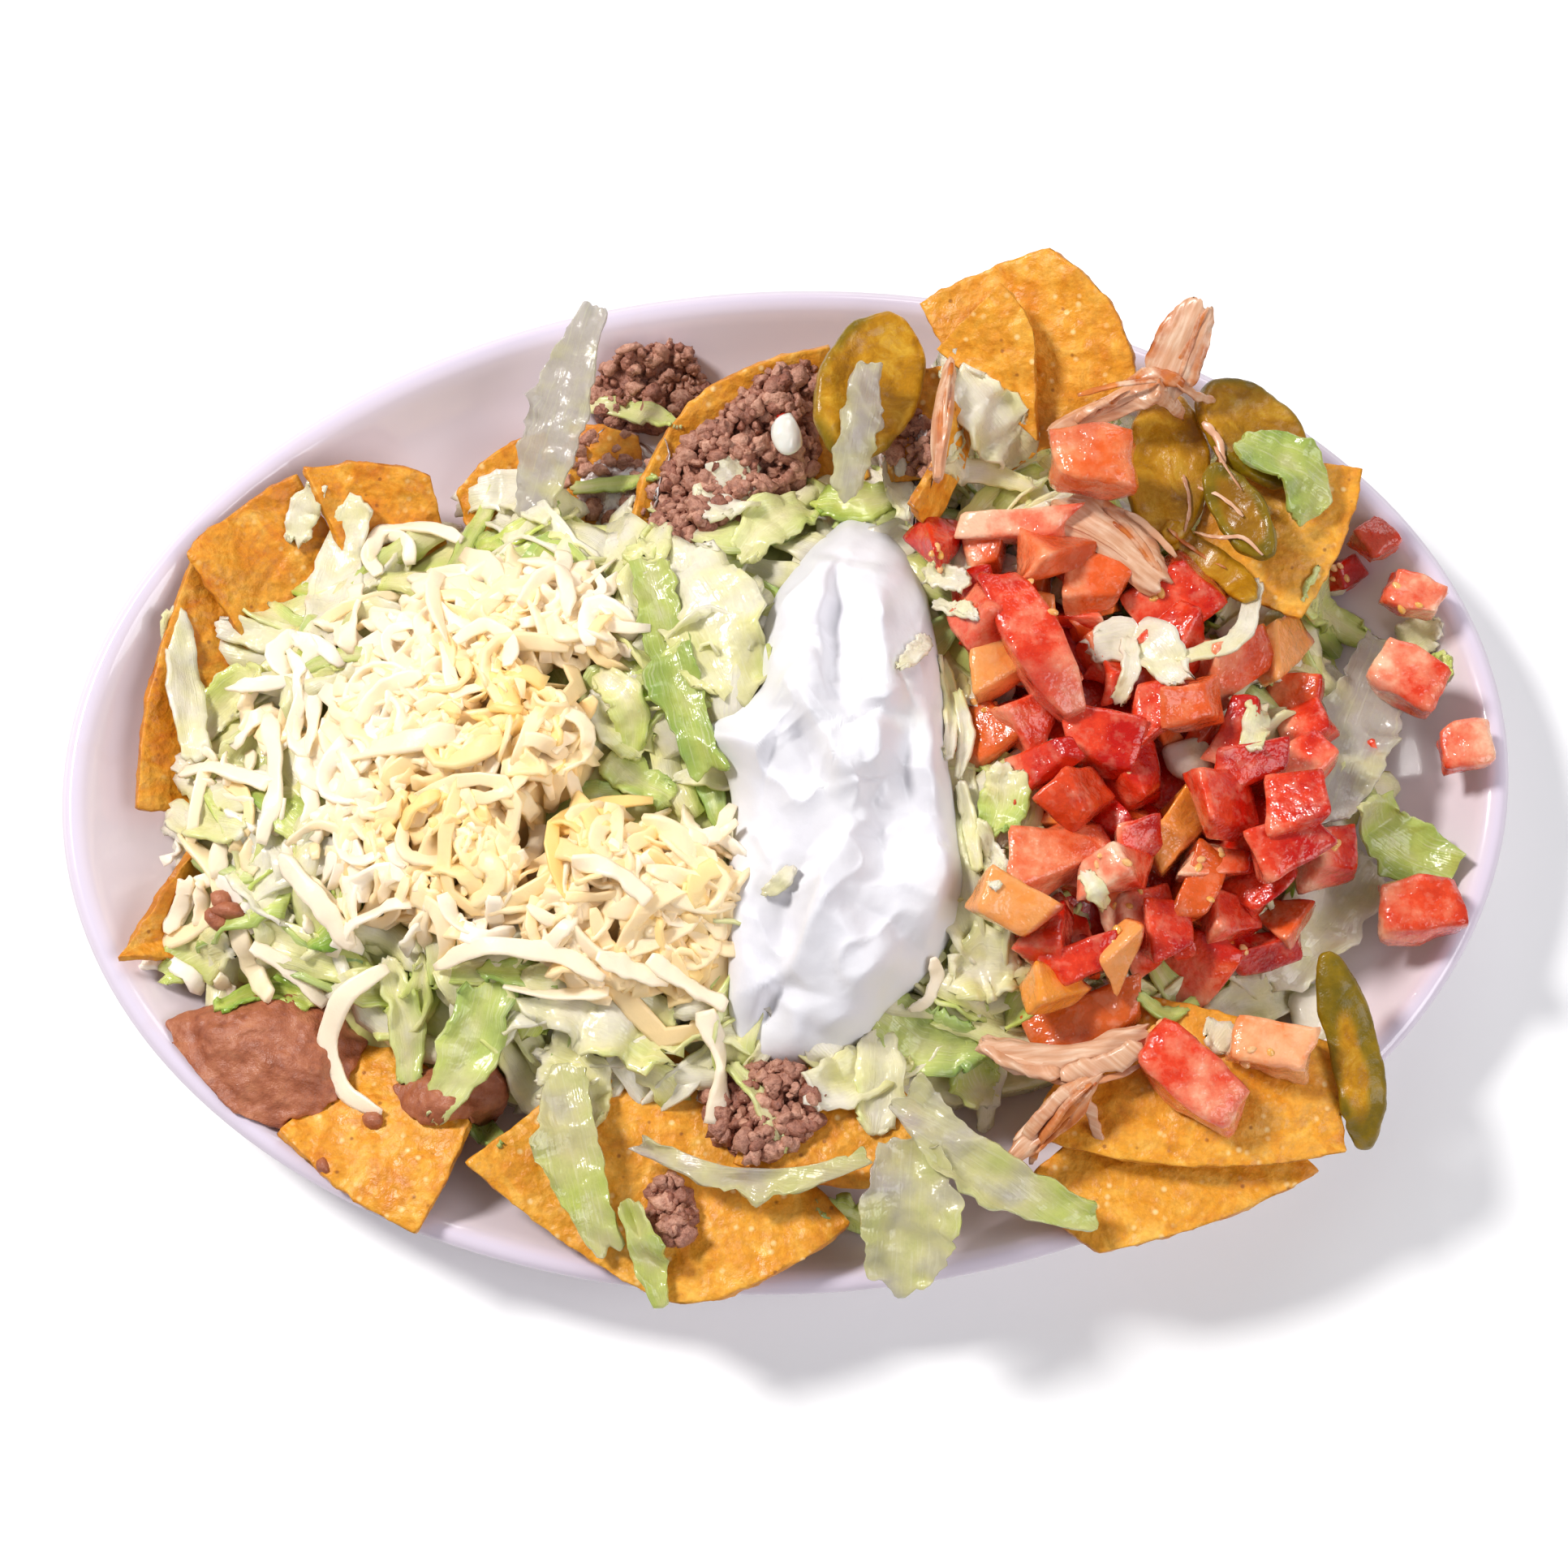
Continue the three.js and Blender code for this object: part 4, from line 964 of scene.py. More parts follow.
def strand_path(x, y, yaw, length, bend, ground, limit, lift, arch, stops=5):
    """A curved path over the ground, centred on a place. It lies no higher than limit(x, y), apart from the
    arch that lifts its middle.
    """
    t = np.linspace(-1, 1, stops)
    u, v = t * length / 2, bend * (t**2 - 0.4)
    px = x + u * math.cos(yaw) - v * math.sin(yaw)
    py = y + u * math.sin(yaw) + v * math.cos(yaw)
    pz = np.minimum(ground.at(px, py) + lift, limit(px, py)) + arch * (1 - t**2)
    return np.stack([px, py, pz], 1)


# Larger pieces of leaf on the mound: a path in pixels of the photograph, widths in mm at its start, middle
# and end, how green it is from start to end, and how much it is cupped.
LEAF_PIECES = [
    (((715, 500), (775, 506), (835, 525)), (3, 6, 3), (0.3, 0.5), 0.3),
    (((705, 602), (760, 597), (808, 588)), (3, 4, 2), (0.6, 0.8), 0.2),
    (((560, 625), (620, 605), (680, 640)), (6, 11, 6), (0.0, 0.1), 0.3),
    (((400, 800), (420, 700), (440, 610)), (10, 14, 7), (0.0, 0.1), 0.2),
    (((365, 670), (375, 630), (395, 600)), (5, 8, 5), (0.1, 0.0), 0.4),
    (((215, 745), (225, 830), (245, 940)), (5, 9, 6), (0.0, 0.1), 0.4),
    (((245, 900), (285, 860), (320, 835)), (8, 13, 7), (0.2, 0.45), 0.4),
    (((265, 770), (330, 785), (398, 800)), (5, 8, 5), (0.1, 0.2), 0.3),
    (((210, 1000), (250, 1015), (300, 1025)), (6, 9, 5), (0.1, 0.3), 0.4),
    (((195, 1200), (245, 1180), (290, 1160)), (6, 12, 6), (0.5, 0.2), 0.3),
    (((265, 1242), (330, 1222), (390, 1236)), (3, 6, 4), (0.9, 0.7), 0.2),
    (((475, 1180), (500, 1260), (505, 1340)), (5, 8, 5), (0.2, 0.7), 0.5),
    (((600, 1205), (590, 1260), (530, 1385)), (12, 13, 4), (0.9, 0.3), 0.4),
    (((640, 1215), (730, 1235), (840, 1300)), (10, 22, 12), (0.1, 0.4), 0.3),
    (((660, 1300), (700, 1320), (720, 1400)), (10, 16, 8), (0.1, 0.3), 0.4),
    (((590, 1195), (650, 1200), (700, 1210)), (4, 7, 4), (0.9, 0.8), 0.3),
    (((545, 1345), (590, 1385), (618, 1412)), (4, 6, 3), (0.8, 1.0), 0.3),
    (((900, 1310), (940, 1360), (968, 1420)), (3, 5, 2), (0.3, 0.5), 0.4),
    (((990, 1345), (1050, 1330), (1115, 1290)), (8, 13, 7), (0.0, 0.3), 0.4),
    (((1075, 1235), (1140, 1285), (1210, 1290)), (8, 15, 9), (0.5, 1.0), 0.4),
    (((1080, 1260), (1085, 1330), (1075, 1400)), (7, 11, 7), (0.1, 0.3), 0.5),
    (((1170, 1210), (1215, 1190), (1262, 1195)), (9, 17, 9), (0.1, 0.2), 0.2),
    (((1195, 1285), (1200, 1325), (1220, 1362)), (7, 11, 6), (0.7, 0.3), 0.4),
    (((865, 640), (905, 600), (945, 585)), (8, 15, 8), (0.1, 0.2), 0.4),
    (((905, 690), (955, 640), (1005, 625)), (6, 13, 7), (0.3, 0.4), 0.4),
    (((1000, 620), (1050, 620), (1110, 610)), (6, 10, 5), (0.8, 0.5), 0.3),
    (((768, 690), (795, 682), (822, 648)), (5, 7, 3), (0.35, 0.3), 0.6),
    (((830, 670), (870, 760), (915, 860)), (16, 25, 15), (0.0, 0.35), 0.15),
    (((1125, 612), (1190, 580), (1275, 600)), (3, 6, 3), (0.2, 0.3), 0.3),
    (((1180, 460), (1215, 510), (1262, 570)), (9, 15, 10), (0.0, 0.15), 0.5),
    (((1150, 450), (1175, 500), (1170, 570)), (3, 6, 3), (0.0, 0.1), 0.4),
    (((1140, 700), (1195, 718), (1222, 745)), (3, 6, 3), (0.0, 0.2), 0.3),
    (((1215, 930), (1245, 975), (1225, 1045)), (6, 12, 7), (0.5, 0.2), 0.4),
    (((1185, 830), (1178, 920), (1200, 1010)), (3, 7, 4), (0.3, 0.1), 0.3),
    (((1722, 806), (1750, 782), (1772, 762)), (6, 10, 5), (0.0, 0.1), 0.3),
    (((1760, 852), (1768, 826), (1780, 806)), (4, 7, 3), (0.3, 0.6), 0.3),
    (((1605, 745), (1650, 770), (1690, 792)), (6, 10, 5), (0.4, 0.6), 0.4),
    (((1690, 1060), (1630, 1130), (1560, 1215)), (12, 18, 12), (0.0, 0.05), 0.2),
    (((1490, 1290), (1530, 1240), (1600, 1225)), (6, 12, 6), (0.1, 0.2), 0.4),
    (((670, 1020), (715, 985), (770, 985)), (7, 10, 5), (0.9, 1.0), 0.3),
    (((745, 930), (780, 960), (830, 985)), (7, 10, 6), (0.5, 0.9), 0.3),
    (((735, 850), (760, 890), (800, 930)), (8, 11, 7), (0.1, 0.5), 0.3),
    (((645, 795), (680, 820), (700, 850)), (4, 6, 4), (0.7, 0.9), 0.3),
    (((600, 680), (620, 720), (618, 765)), (5, 9, 4), (0.3, 0.7), 0.4),
    (((735, 830), (770, 860), (780, 930)), (5, 9, 5), (0.3, 0.6), 0.4),
    (((1095, 560), (1105, 590), (1120, 640)), (4, 7, 4), (0.0, 0.2), 0.4),
    (((798, 690), (800, 668), (812, 648)), (2.5, 4.5, 3), (0.3, 0.35), 0.9),
    (((772, 682), (782, 688), (790, 700)), (2, 3.5, 2), (0.3, 0.35), 0.9),
    (((1005, 1485), (1050, 1500), (1102, 1512)), (3, 7, 5), (0.8, 0.5), 0.3),
]

# Bits of leaf that lie over the tomato and the cream, given in the same way.
LATE_LEAVES = [
    (((1450, 812), (1520, 790), (1548, 715)), (3.0, 4.5, 3.5), (0.0, 0.0), 0.2),
    (((1335, 800), (1395, 790), (1462, 840)), (7, 13, 6), (0.0, 0.05), 0.3),
    (((1390, 785), (1392, 830), (1376, 868)), (3.5, 4, 3), (0.0, 0.1), 0.5),
    (((1140, 704), (1168, 712), (1194, 718)), (4, 5.5, 4.5), (0.12, 0.15), 0.9),
    (((1150, 742), (1175, 752), (1205, 762)), (2.5, 4, 2), (0.05, 0.1), 0.8),
    (((1548, 868), (1546, 895), (1540, 925)), (5, 6, 5), (0.15, 0.15), 0.4),
    (((1240, 940), (1238, 985), (1222, 1030)), (7, 11, 7), (0.25, 0.95), 0.3),
    (((1108, 822), (1126, 806), (1144, 786)), (2, 4.5, 3), (0.0, 0.0), 0.1),
    (((938, 1102), (958, 1090), (978, 1066)), (1.5, 4, 2.5), (0.0, 0.0), 0.1),
    (((1160, 810), (1172, 860), (1168, 935)), (2, 3.4, 2), (0.1, 0.2), 0.9),
    (((1180, 850), (1190, 905), (1180, 960)), (2, 3.6, 1.5), (0.2, 0.1), 0.9),
    (((1183, 960), (1196, 1020), (1205, 1075)), (2, 3.6, 2), (0.1, 0.2), 0.9),
    (((1205, 1010), (1222, 1050), (1226, 1095)), (3, 5, 3), (0.1, 0.2), 0.6),
    (((1335, 1075), (1350, 1095), (1362, 1118)), (3, 4.5, 3), (0.3, 0.4), 0.4),
    (((1400, 1225), (1440, 1250), (1475, 1232)), (2.5, 3.5, 2.5), (0.7, 0.8), 0.3),
]

# White lumps of lettuce rib: a pixel of the photograph, and three radii in mm.
RIB_LUMPS = [(1619, 1250, 5.2, 6.6, 4.2), (1466, 935, 5.6, 4.4, 3.4)]


def leaf_values(form, greens, rows, columns, tone, seed):
    """The green of each point of a strip of leaf: along it, and stronger at its edges."""
    t = np.repeat(np.linspace(0, 1, rows + 1), columns + 1)
    s = np.tile(np.linspace(-1, 1, columns + 1), rows + 1)
    green = mix(greens[0], greens[1], t) * (0.55 + 0.45 * np.abs(s))
    green = np.tile(green, 2) + 0.12 * waves(form[0], 12, 2, seed)
    along, across = np.tile(t, 2) + seed, np.tile(s, 2)
    return {"shade": clipped(green), "tone": tone, "along": along, "across": across}


LEAF_GRID = (24, 8)  # how many faces a larger piece of leaf has along and across
SHRED_GRID = (14, 4)  # and a shred
SHREDS, BACK_SHREDS = 360, 80  # how many lie on the mound and over its steep back
SHRED_GREENS = [0.0, 0.15, 0.4, 0.7, 1.0]  # how green an end of a shred may be
GREEN_ODDS = [0.34, 0.26, 0.2, 0.13, 0.07]
MOUND_CORE, MOUND_BED = 3.5, 8.0  # how deep the solid core lies under the top, and the height of its bed


def lay_leaf(pile, ground, path, widths, greens, cup, rng, seed):
    """Lays one larger piece of leaf along a path, nowhere under the ground."""
    twist, ruffle = rng.normal(0, 0.25, 3), 0.08 * max(widths)
    grid = ribbon(path, widths, twist, cup * 0.5, ruffle, 3.0, *LEAF_GRID, seed + 500)
    grid = crumpled(grid, 0.12 * max(widths), 7, seed)
    floor = ground.at(grid[..., 0], grid[..., 1]) + 0.4
    grid[..., 2] = np.maximum(grid[..., 2], floor)
    form = solid_sheet(grid, 0.9)
    pile.add(form, **leaf_values(form, greens, *LEAF_GRID, rng.uniform(0.1, 0.7), seed))
    ground.cover(form)


def make_lettuce(ground, material):
    rng = np.random.default_rng(21)
    pile = Pile()

    def core_top(x, y, share):
        return mound_top(x, y) - MOUND_CORE

    def bed(x, y):
        return np.full_like(x, MOUND_BED)

    def limit(x, y):
        return mound_top(x, y) + 2.5

    form = heap_form(MOUND_OUTLINE, core_top, bed, inset=3, uneven=2, seed=5)
    ground.cover(pile.add(form, shade=0.3, tone=0.3), 8)
    ground.settle()
    hidden = [shrunk(CHEESE_OUTLINE, 12), shrunk(CREAM_OUTLINE, 8), shrunk(SALSA_OUTLINE, 16)]
    mound = scatter(shrunk(MOUND_OUTLINE, 7), SHREDS, rng, hidden)
    places = [(x, y, rng.uniform(0, math.pi)) for x, y in mound]
    back = scatter(MOUND_BACK, BACK_SHREDS, rng)
    places += [(x, y, math.atan2(y, x - 60) + rng.normal(0, 0.4)) for x, y in back]
    for count, (x, y, yaw) in enumerate(places):
        long, wide = rng.uniform(16, 38), rng.uniform(3.5, 11)
        path = strand_path(x, y, yaw, long, rng.normal(0, 4), ground, limit, 1.0, rng.uniform(0, 2.5))
        twist = rng.normal(0, 0.45, 3)
        widths = (wide * rng.uniform(0.3, 0.9), wide, wide * rng.uniform(0.2, 0.8))
        curl, folds = rng.normal(0, 0.5), rng.uniform(1, 3)
        grid = ribbon(path, widths, twist, curl, wide * 0.1, folds, *SHRED_GRID, count)
        form = solid_sheet(crumpled(grid, 1.1, 8, count), 0.8)
        greens = rng.choice(SHRED_GREENS, 2, p=GREEN_ODDS)
        pile.add(form, **leaf_values(form, greens, *SHRED_GRID, rng.uniform(0, 1), count))
        ground.cover(form)
        if count % 40 == 39:
            ground.settle()
    ground.settle()
    for count, (pixels, widths, greens, cup) in enumerate(LEAF_PIECES):
        lay_leaf(pile, ground, ground.path(pixels, 1.6), widths, greens, cup, rng, count)
    ground.settle()
    pile.finish("lettuce_shreds", material, "lettuce", ["lettuce"])


def make_late_leaves(ground, material):
    """Bits of leaf that lie over the other toppings."""
    rng = np.random.default_rng(22)
    pile = Pile()
    for count, (pixels, widths, greens, cup) in enumerate(LATE_LEAVES):
        lay_leaf(pile, ground, ground.path(pixels, 1.2), widths, greens, cup, rng, count + 60)
        ground.settle()
    for px, py, *radii in RIB_LUMPS:
        lump = BALL[0] * radii * (1 + 0.3 * waves(BALL[0], 1.6, 2, 3))[:, None]
        pile.add((lump + ground.seen(px, py, 0.4 * radii[2]), *BALL[1:]), tone=1.0)
    pile.finish("lettuce_bits", material, "lettuce")


# ---------------------------------------------------------------- cheese

# Shreds that stand out: a path in pixels of the photograph and a width in mm.
CHEESE_SEEN = [
    (((478, 1192), (428, 1222), (404, 1280), (425, 1345), (470, 1372)), 5.2),
    (((868, 1245), (888, 1310), (880, 1385)), 5.5),
    (((345, 1055), (390, 1110), (435, 1168)), 5.5),
    (((310, 1165), (360, 1195), (402, 1238)), 4.5),
    (((535, 1192), (600, 1165), (690, 1178), (745, 1205)), 4.5),
    (((620, 1215), (680, 1225), (750, 1222)), 3.8),
    (((225, 950), (280, 948), (330, 968)), 4.5),
    (((205, 1150), (222, 1120), (235, 1080)), 4.0),
    (((455, 690), (470, 655), (530, 650), (570, 665)), 4.2),
    (((1120, 1245), (1140, 1235), (1155, 1200), (1150, 1180)), 3.6),
    (((800, 1180), (850, 1215), (895, 1240)), 4.5),
    (((640, 690), (690, 700), (700, 760)), 4.2),
    (((330, 880), (340, 960), (322, 1040)), 4.6),
    (((355, 800), (385, 860), (380, 930)), 4.2),
    (((466, 708), (456, 680), (474, 660), (502, 668), (506, 696)), 4.0),
    (((735, 1178), (780, 1196), (824, 1212)), 5.0),
    (((640, 745), (662, 715), (690, 700), (694, 680)), 4.2),
    (((425, 800), (436, 760), (440, 722)), 4.8),
    (((560, 790), (600, 770), (628, 790), (625, 820)), 3.8),
    (((520, 830), (470, 850), (440, 890)), 4.6),
    (((705, 1060), (760, 1075), (800, 1110)), 4.4),
]
CHEESE_YELLOW = [(620, 870), (860, 1190), (690, 1000), (560, 990)]  # pixels where the cheese is yellowest
# Lettuce shows through the cheese along these lines of pixels, to their width in mm.
CHEESE_GAPS = [
    (((655, 1030), (700, 985), (750, 960), (815, 985)), 5.5),
    (((730, 830), (755, 900), (790, 950), (880, 960)), 8.5),
    (((640, 790), (680, 820), (705, 850)), 3.0),
]
LOOSE_CHEESE = [
    (-135, -45), (-137, -10), (-120, 20), (-100, 40), (-84, 42), (-90, 10), (-88, -40), (-104, -50),
]


def cheese_shred(path, width, rng, rows):
    """A shred cut by a grater: flat, hollowed on one side, twisted, and uneven in width."""
    thick = width * rng.uniform(0.25, 0.45)
    hollow, seed = rng.uniform(0, 0.5), int(rng.integers(200))
    twist, blunt = rng.normal(0, 0.75, 3), rng.uniform(0.35, 1.0)
    return bar(path, width, thick, twist, rows, blunt, hollow, square=0.5, ragged=0.4, seed=seed)


CHEESE_SHREDS, LOOSE_SHREDS = 860, 70  # how many lie on the heap and beyond it
GAP_HEIGHT, YELLOW_HEIGHT = 52, 55  # the heights at which their pixels are read


def make_cheese(ground, material):
    rng = np.random.default_rng(31)
    pile = Pile()
    gaps = [([at_height(px, py, GAP_HEIGHT) for px, py in pixels], wide) for pixels, wide in CHEESE_GAPS]
    yellow = [at_height(px, py, YELLOW_HEIGHT)[:2] for px, py in CHEESE_YELLOW]
    middle = np.mean(CHEESE_OUTLINE, axis=0)

    def gap(x, y):
        return sum(np.exp(-((off_line(x, y, path)[0] / wide) ** 4)) for path, wide in gaps)

    def core_top(x, y, share):
        return mound_top(x, y) - 1 + 8 * dome(share) - 10 * gap(x, y)

    def ceiling(x, y):
        share = np.minimum(np.hypot((x - middle[0]) / 48, (y - middle[1]) / 55), 1)
        return mound_top(x, y) + 4 + 8 * dome(share)

    form = heap_form(CHEESE_OUTLINE, core_top, below_mound(14), 90, 26, inset=5, uneven=2, seed=3)
    # the core carries some of the painted yellow shade, seen in the gaps between the shreds
    ground.cover(pile.add(form, shade=0.4, tone=0.4), 6)
    ground.settle(1)
    areas = [(shrunk(CHEESE_OUTLINE, 3), CHEESE_SHREDS), (LOOSE_CHEESE, LOOSE_SHREDS)]
    places = [place for area, count in areas for place in scatter(area, count, rng)]
    for count, (x, y) in enumerate(places):
        rich = max(math.exp(-((x - cx) ** 2 + (y - cy) ** 2) / 20**2) for cx, cy in yellow)
        short = rng.random() < 0.5 + 0.35 * rich
        if gap(np.array(x), np.array(y)) > rng.uniform(0.3, 0.9):
            continue
        if short:
            long, rows, stops = rng.uniform(4, 11), 5, 3
            bend = rng.normal(0, 0.6)
        else:
            long, rows, stops = float(np.clip(rng.gamma(4.5, 3.3), 9, 30)), 9, 6
            bend = rng.choice([-1, 1]) * long * 0.9 * rng.random() ** 1.4
        arch = rng.uniform(-0.5, 0.5) if short else rng.uniform(-1, 3)
        path = strand_path(x, y, rng.uniform(0, 2 * math.pi), long, bend, ground, ceiling, 1.1, arch, stops)
        path[:, 2] += rng.normal(0, 0.12) * np.linspace(-1, 1, stops) * min(long, 12)
        form = cheese_shred(path, rng.uniform(2.2, 5.0), rng, rows)
        tone = float(clipped(rng.normal(0.85 - 0.6 * rich, 0.2)))
        # painted shade: shreds laid first lie deeper and are painted more of the darker yellow
        layer = count / len(places)
        pile.add(form, tone=tone, shade=float(clipped(0.6 - 0.7 * layer)) * rng.uniform(0, 1))
        ground.cover(form)
        if count % 30 == 29:
            ground.settle(1)
    ground.settle(1)
    for pixels, width in CHEESE_SEEN:
        form = cheese_shred(ground.path(pixels, 1.6), 0.86 * width, rng, 22)
        pile.add(form, tone=0.8)
        ground.cover(form)
    ground.settle()
    pile.finish("cheese_shreds", material, "cheese", ["cheese"])


# ---------------------------------------------------------------- sour cream

# Folds in the cream: a path in pixels of the photograph, the height of its crest in mm (a trough where it is
# negative), and how far it falls off to the left and to the right of its path.
CREAM_FOLDS = [
    (((1030, 655), (1010, 720), (1006, 790), (1012, 835), (1040, 895)), 3.4, 2.4, 11),
    (((1043, 680), (1029, 740), (1025, 800), (1038, 850)), -2.6, 5, 4),
    (((1090, 665), (1084, 740), (1082, 800), (1096, 855)), 3.6, 8, 8),
    (((1058, 860), (1088, 872), (1120, 852)), 2.6, 7, 2),
    (((1010, 820), (975, 842), (958, 874)), 2.2, 9, 2),
    (((972, 850), (1008, 900), (1044, 962), (1072, 1025)), 3.4, 4, 9),
    (((1064, 888), (1078, 920), (1083, 958)), 3.2, 5, 5),
    (((1060, 965), (1084, 1030), (1096, 1090)), -2.8, 7, 5),
    (((1142, 850), (1148, 920), (1143, 1000)), 2.6, 4, 7),
    (((1121, 880), (1121, 950), (1127, 1010)), -1.8, 2.5, 3),
    (((984, 895), (1003, 935), (1014, 978)), -2.6, 3, 4),
    (((862, 910), (905, 914), (955, 925)), 3.0, 4, 6),
    (((1062, 1010), (1030, 1060), (1004, 1110), (984, 1165), (974, 1204)), 4.2, 12, 2.6),
    (((986, 1075), (970, 1130), (958, 1185)), -2.0, 3, 5),
    (((1168, 1030), (1162, 1090), (1136, 1150)), 3.2, 6, 9),
    (((1114, 1148), (1085, 1186), (1044, 1208)), 2.8, 3, 8),
    (((985, 1188), (955, 1216), (931, 1246), (921, 1278)), -3.4, 3, 4),
    (((958, 1180), (932, 1215), (914, 1256)), 2.2, 2.6, 6),
    (((1092, 1226), (1040, 1242), (985, 1266), (948, 1290)), 3.0, 6, 6),
    (((984, 1246), (1006, 1258), (1032, 1260)), -2.0, 2, 2.5),
]
SOFT_CREST = 0.5  # how rounded a crest is, in mm
FOLD_HEIGHT = 58  # the height at which the pixels of the folds are read
CREAM_SIDES, CREAM_RINGS = 240, 100


def fold_height(x, y, path, crest, left, right):
    """The rise that one fold gives the cream, with its own fall to the left and to the right of its path."""
    distance, side, share = off_line(x, y, path)
    off = np.hypot(distance, SOFT_CREST) - SOFT_CREST
    width = mix(right, left, 0.5 + 0.5 * np.tanh(side))
    return crest * np.sin(math.pi * np.clip(share, 0.02, 0.98)) ** 0.6 * np.exp(-((off / width) ** 1.3))


def make_cream(ground):
    def top(x, y, share):
        places = np.stack([x, y, np.zeros_like(x)], 1)
        bent = places + np.stack([1.8 * waves(places, 14, 2, 6), 1.8 * waves(places, 14, 2, 7), 0 * x], 1)
        folds = sum(fold_height(bent[:, 0], bent[:, 1], path, *form) for path, *form in paths)
        ridges = (1 - np.abs(waves(bent, 15, 2, 10))) ** 4
        soft = 1.3 * ridges * dome(share, 6) + 0.4 * waves(places, 9, 2, 8) + 0.15 * waves(places, 3.5, 2, 9)
        return mound_top(x, y) + 2.2 + 8.6 * dome(share, 2.6) + 2.3 * folds * dome(share, 8) + soft

    paths = [([at_height(px, py, FOLD_HEIGHT) for px, py in pixels], *form) for pixels, *form in CREAM_FOLDS]
    form = heap_form(CREAM_OUTLINE, top, below_mound(5), CREAM_SIDES, CREAM_RINGS, uneven=0.6, seed=12)
    ground.cover(finish_form("sour_cream_dollop", form, cream_material(), "sour_cream", ["sour_cream"]))
    ground.settle()


# ---------------------------------------------------------------- tomato

# Dice of tomato: a pixel of the photograph, a turn in degrees, length and width in mm, and how red each is.
DICE = [
    (1155, 662, 20, 13, 12, 0.95), (1212, 690, -10, 14, 12, 0.6), (1300, 690, 15, 14, 11, 0.9),
    (1352, 722, -20, 14, 12, 0.6), (1445, 735, 25, 18, 14, 0.7), (1215, 910, 30, 16, 14, 0.8),
    (1290, 935, 10, 15, 12, 0.65), (1352, 912, -15, 15, 13, 0.9), (1425, 870, 20, 17, 13, 0.7),
    (1402, 962, 10, 15, 13, 0.85), (1515, 818, 25, 14, 12, 0.6), (1595, 855, 0, 11, 10, 0.6),
    (1515, 905, 70, 15, 12, 0.65), (1548, 952, 10, 14, 12, 0.9), (1607, 952, 40, 18, 13, 0.35),
    (1612, 898, 15, 12, 11, 0.6), (1360, 1008, -30, 17, 13, 0.75), (1300, 1052, 10, 19, 12, 0.45),
    (1402, 1032, 15, 12, 11, 0.8), (1380, 1074, 0, 14, 9, 0.5), (1497, 1060, -10, 14, 11, 0.4),
    (1550, 1008, 0, 15, 13, 0.95), (1556, 1082, 30, 15, 12, 0.85), (1637, 1050, 5, 12, 12, 0.7),
    (1470, 1100, 70, 13, 11, 0.85), (1402, 1125, 15, 13, 12, 0.6), (1520, 1132, 0, 14, 12, 0.75),
    (1465, 1192, 40, 22, 15, 0.45), (1290, 1150, 60, 12, 9, 0.85), (1335, 1180, 15, 15, 12, 0.8),
    (1340, 1268, 20, 24, 13, 0.92), (1592, 1130, 50, 13, 11, 0.95), (1562, 1168, 20, 15, 12, 0.95),
    (1505, 988, 0, 13, 12, 0.8), (1450, 800, 30, 13, 11, 0.75), (1235, 760, 0, 14, 12, 0.7),
    (1270, 880, 30, 13, 12, 0.8), (1470, 870, 10, 12, 12, 0.6), (1440, 1140, 10, 13, 12, 0.8),
    (1585, 1040, 30, 13, 12, 0.9), (1590, 1000, 0, 12, 11, 0.75), (1330, 985, 45, 13, 12, 0.8),
    (1385, 830, 15, 12, 11, 0.75), (1240, 640, -10, 25, 11, 0.12), (1655, 708, 0, 9, 8, 0.75),
    (1687, 932, 20, 8, 6, 0.8),
]

# Dice of pale orange flesh, given in the same way.
ORANGE_DICE = [
    (1240, 815, 10, 13, 12, 0.1), (1245, 1112, -35, 14, 9, 0.15), (1440, 1030, 60, 15, 11, 0.4),
    (1302, 1222, 20, 12, 11, 0.45), (1385, 1168, 30, 12, 8, 0.05), (1575, 798, 40, 18, 11, 0.05),
]


ROUNDING, SKEW = 0.18, 0.36  # how round a die's edges are and how far its corners lie off true


def die_form(place, yaw, size, rng, tilt=0.46):
    """A cut die with corners off true and one side hollowed, and how much skin and flesh is at each point."""
    points, quads, triangles = CUBE
    core = np.clip(points, ROUNDING - 1, 1 - ROUNDING)
    beyond = points - core
    points = core + unit(beyond) * np.minimum(ROUNDING, 9 * np.linalg.norm(beyond, axis=1, keepdims=True))
    points[:, 1:] *= 1 - rng.uniform(0, 0.6) * (points[:, :1] + 1) / 2
    bowl = (1 - points[:, 0] ** 2) * (1 - points[:, 2] ** 2)
    hollow = clipped(points[:, 1]) ** 4 * bowl * rng.uniform(0, 0.7)
    corners = rng.normal(0, SKEW, (2, 2, 2, 3))
    share = (points + 1) / 2
    bend = np.stack([0 * hollow, -hollow, 0 * hollow], 1)
    for corner in np.ndindex(2, 2, 2):
        bend += np.prod(np.where(corner, share, 1 - share), axis=1)[:, None] * corners[corner]
    skin = clipped((points[:, 0] - 0.75) * 6)
    flesh = points[:, 0] * rng.uniform(0, 0.5)
    points = (points + bend) * np.array(size) / 2
    points = points + unit(points) * 0.6 * waves(points + 50 * rng.random(3), 6, 2)[:, None]
    points = turned(points, yaw, rng.normal(0, tilt), rng.normal(0, tilt)) + place
    return (points, quads, triangles), skin, flesh


SEED_SIZE, SEED_DEPTH = np.array([1.3, 0.85, 0.6]), 0.15  # half sizes of a seed, and how deep it sits


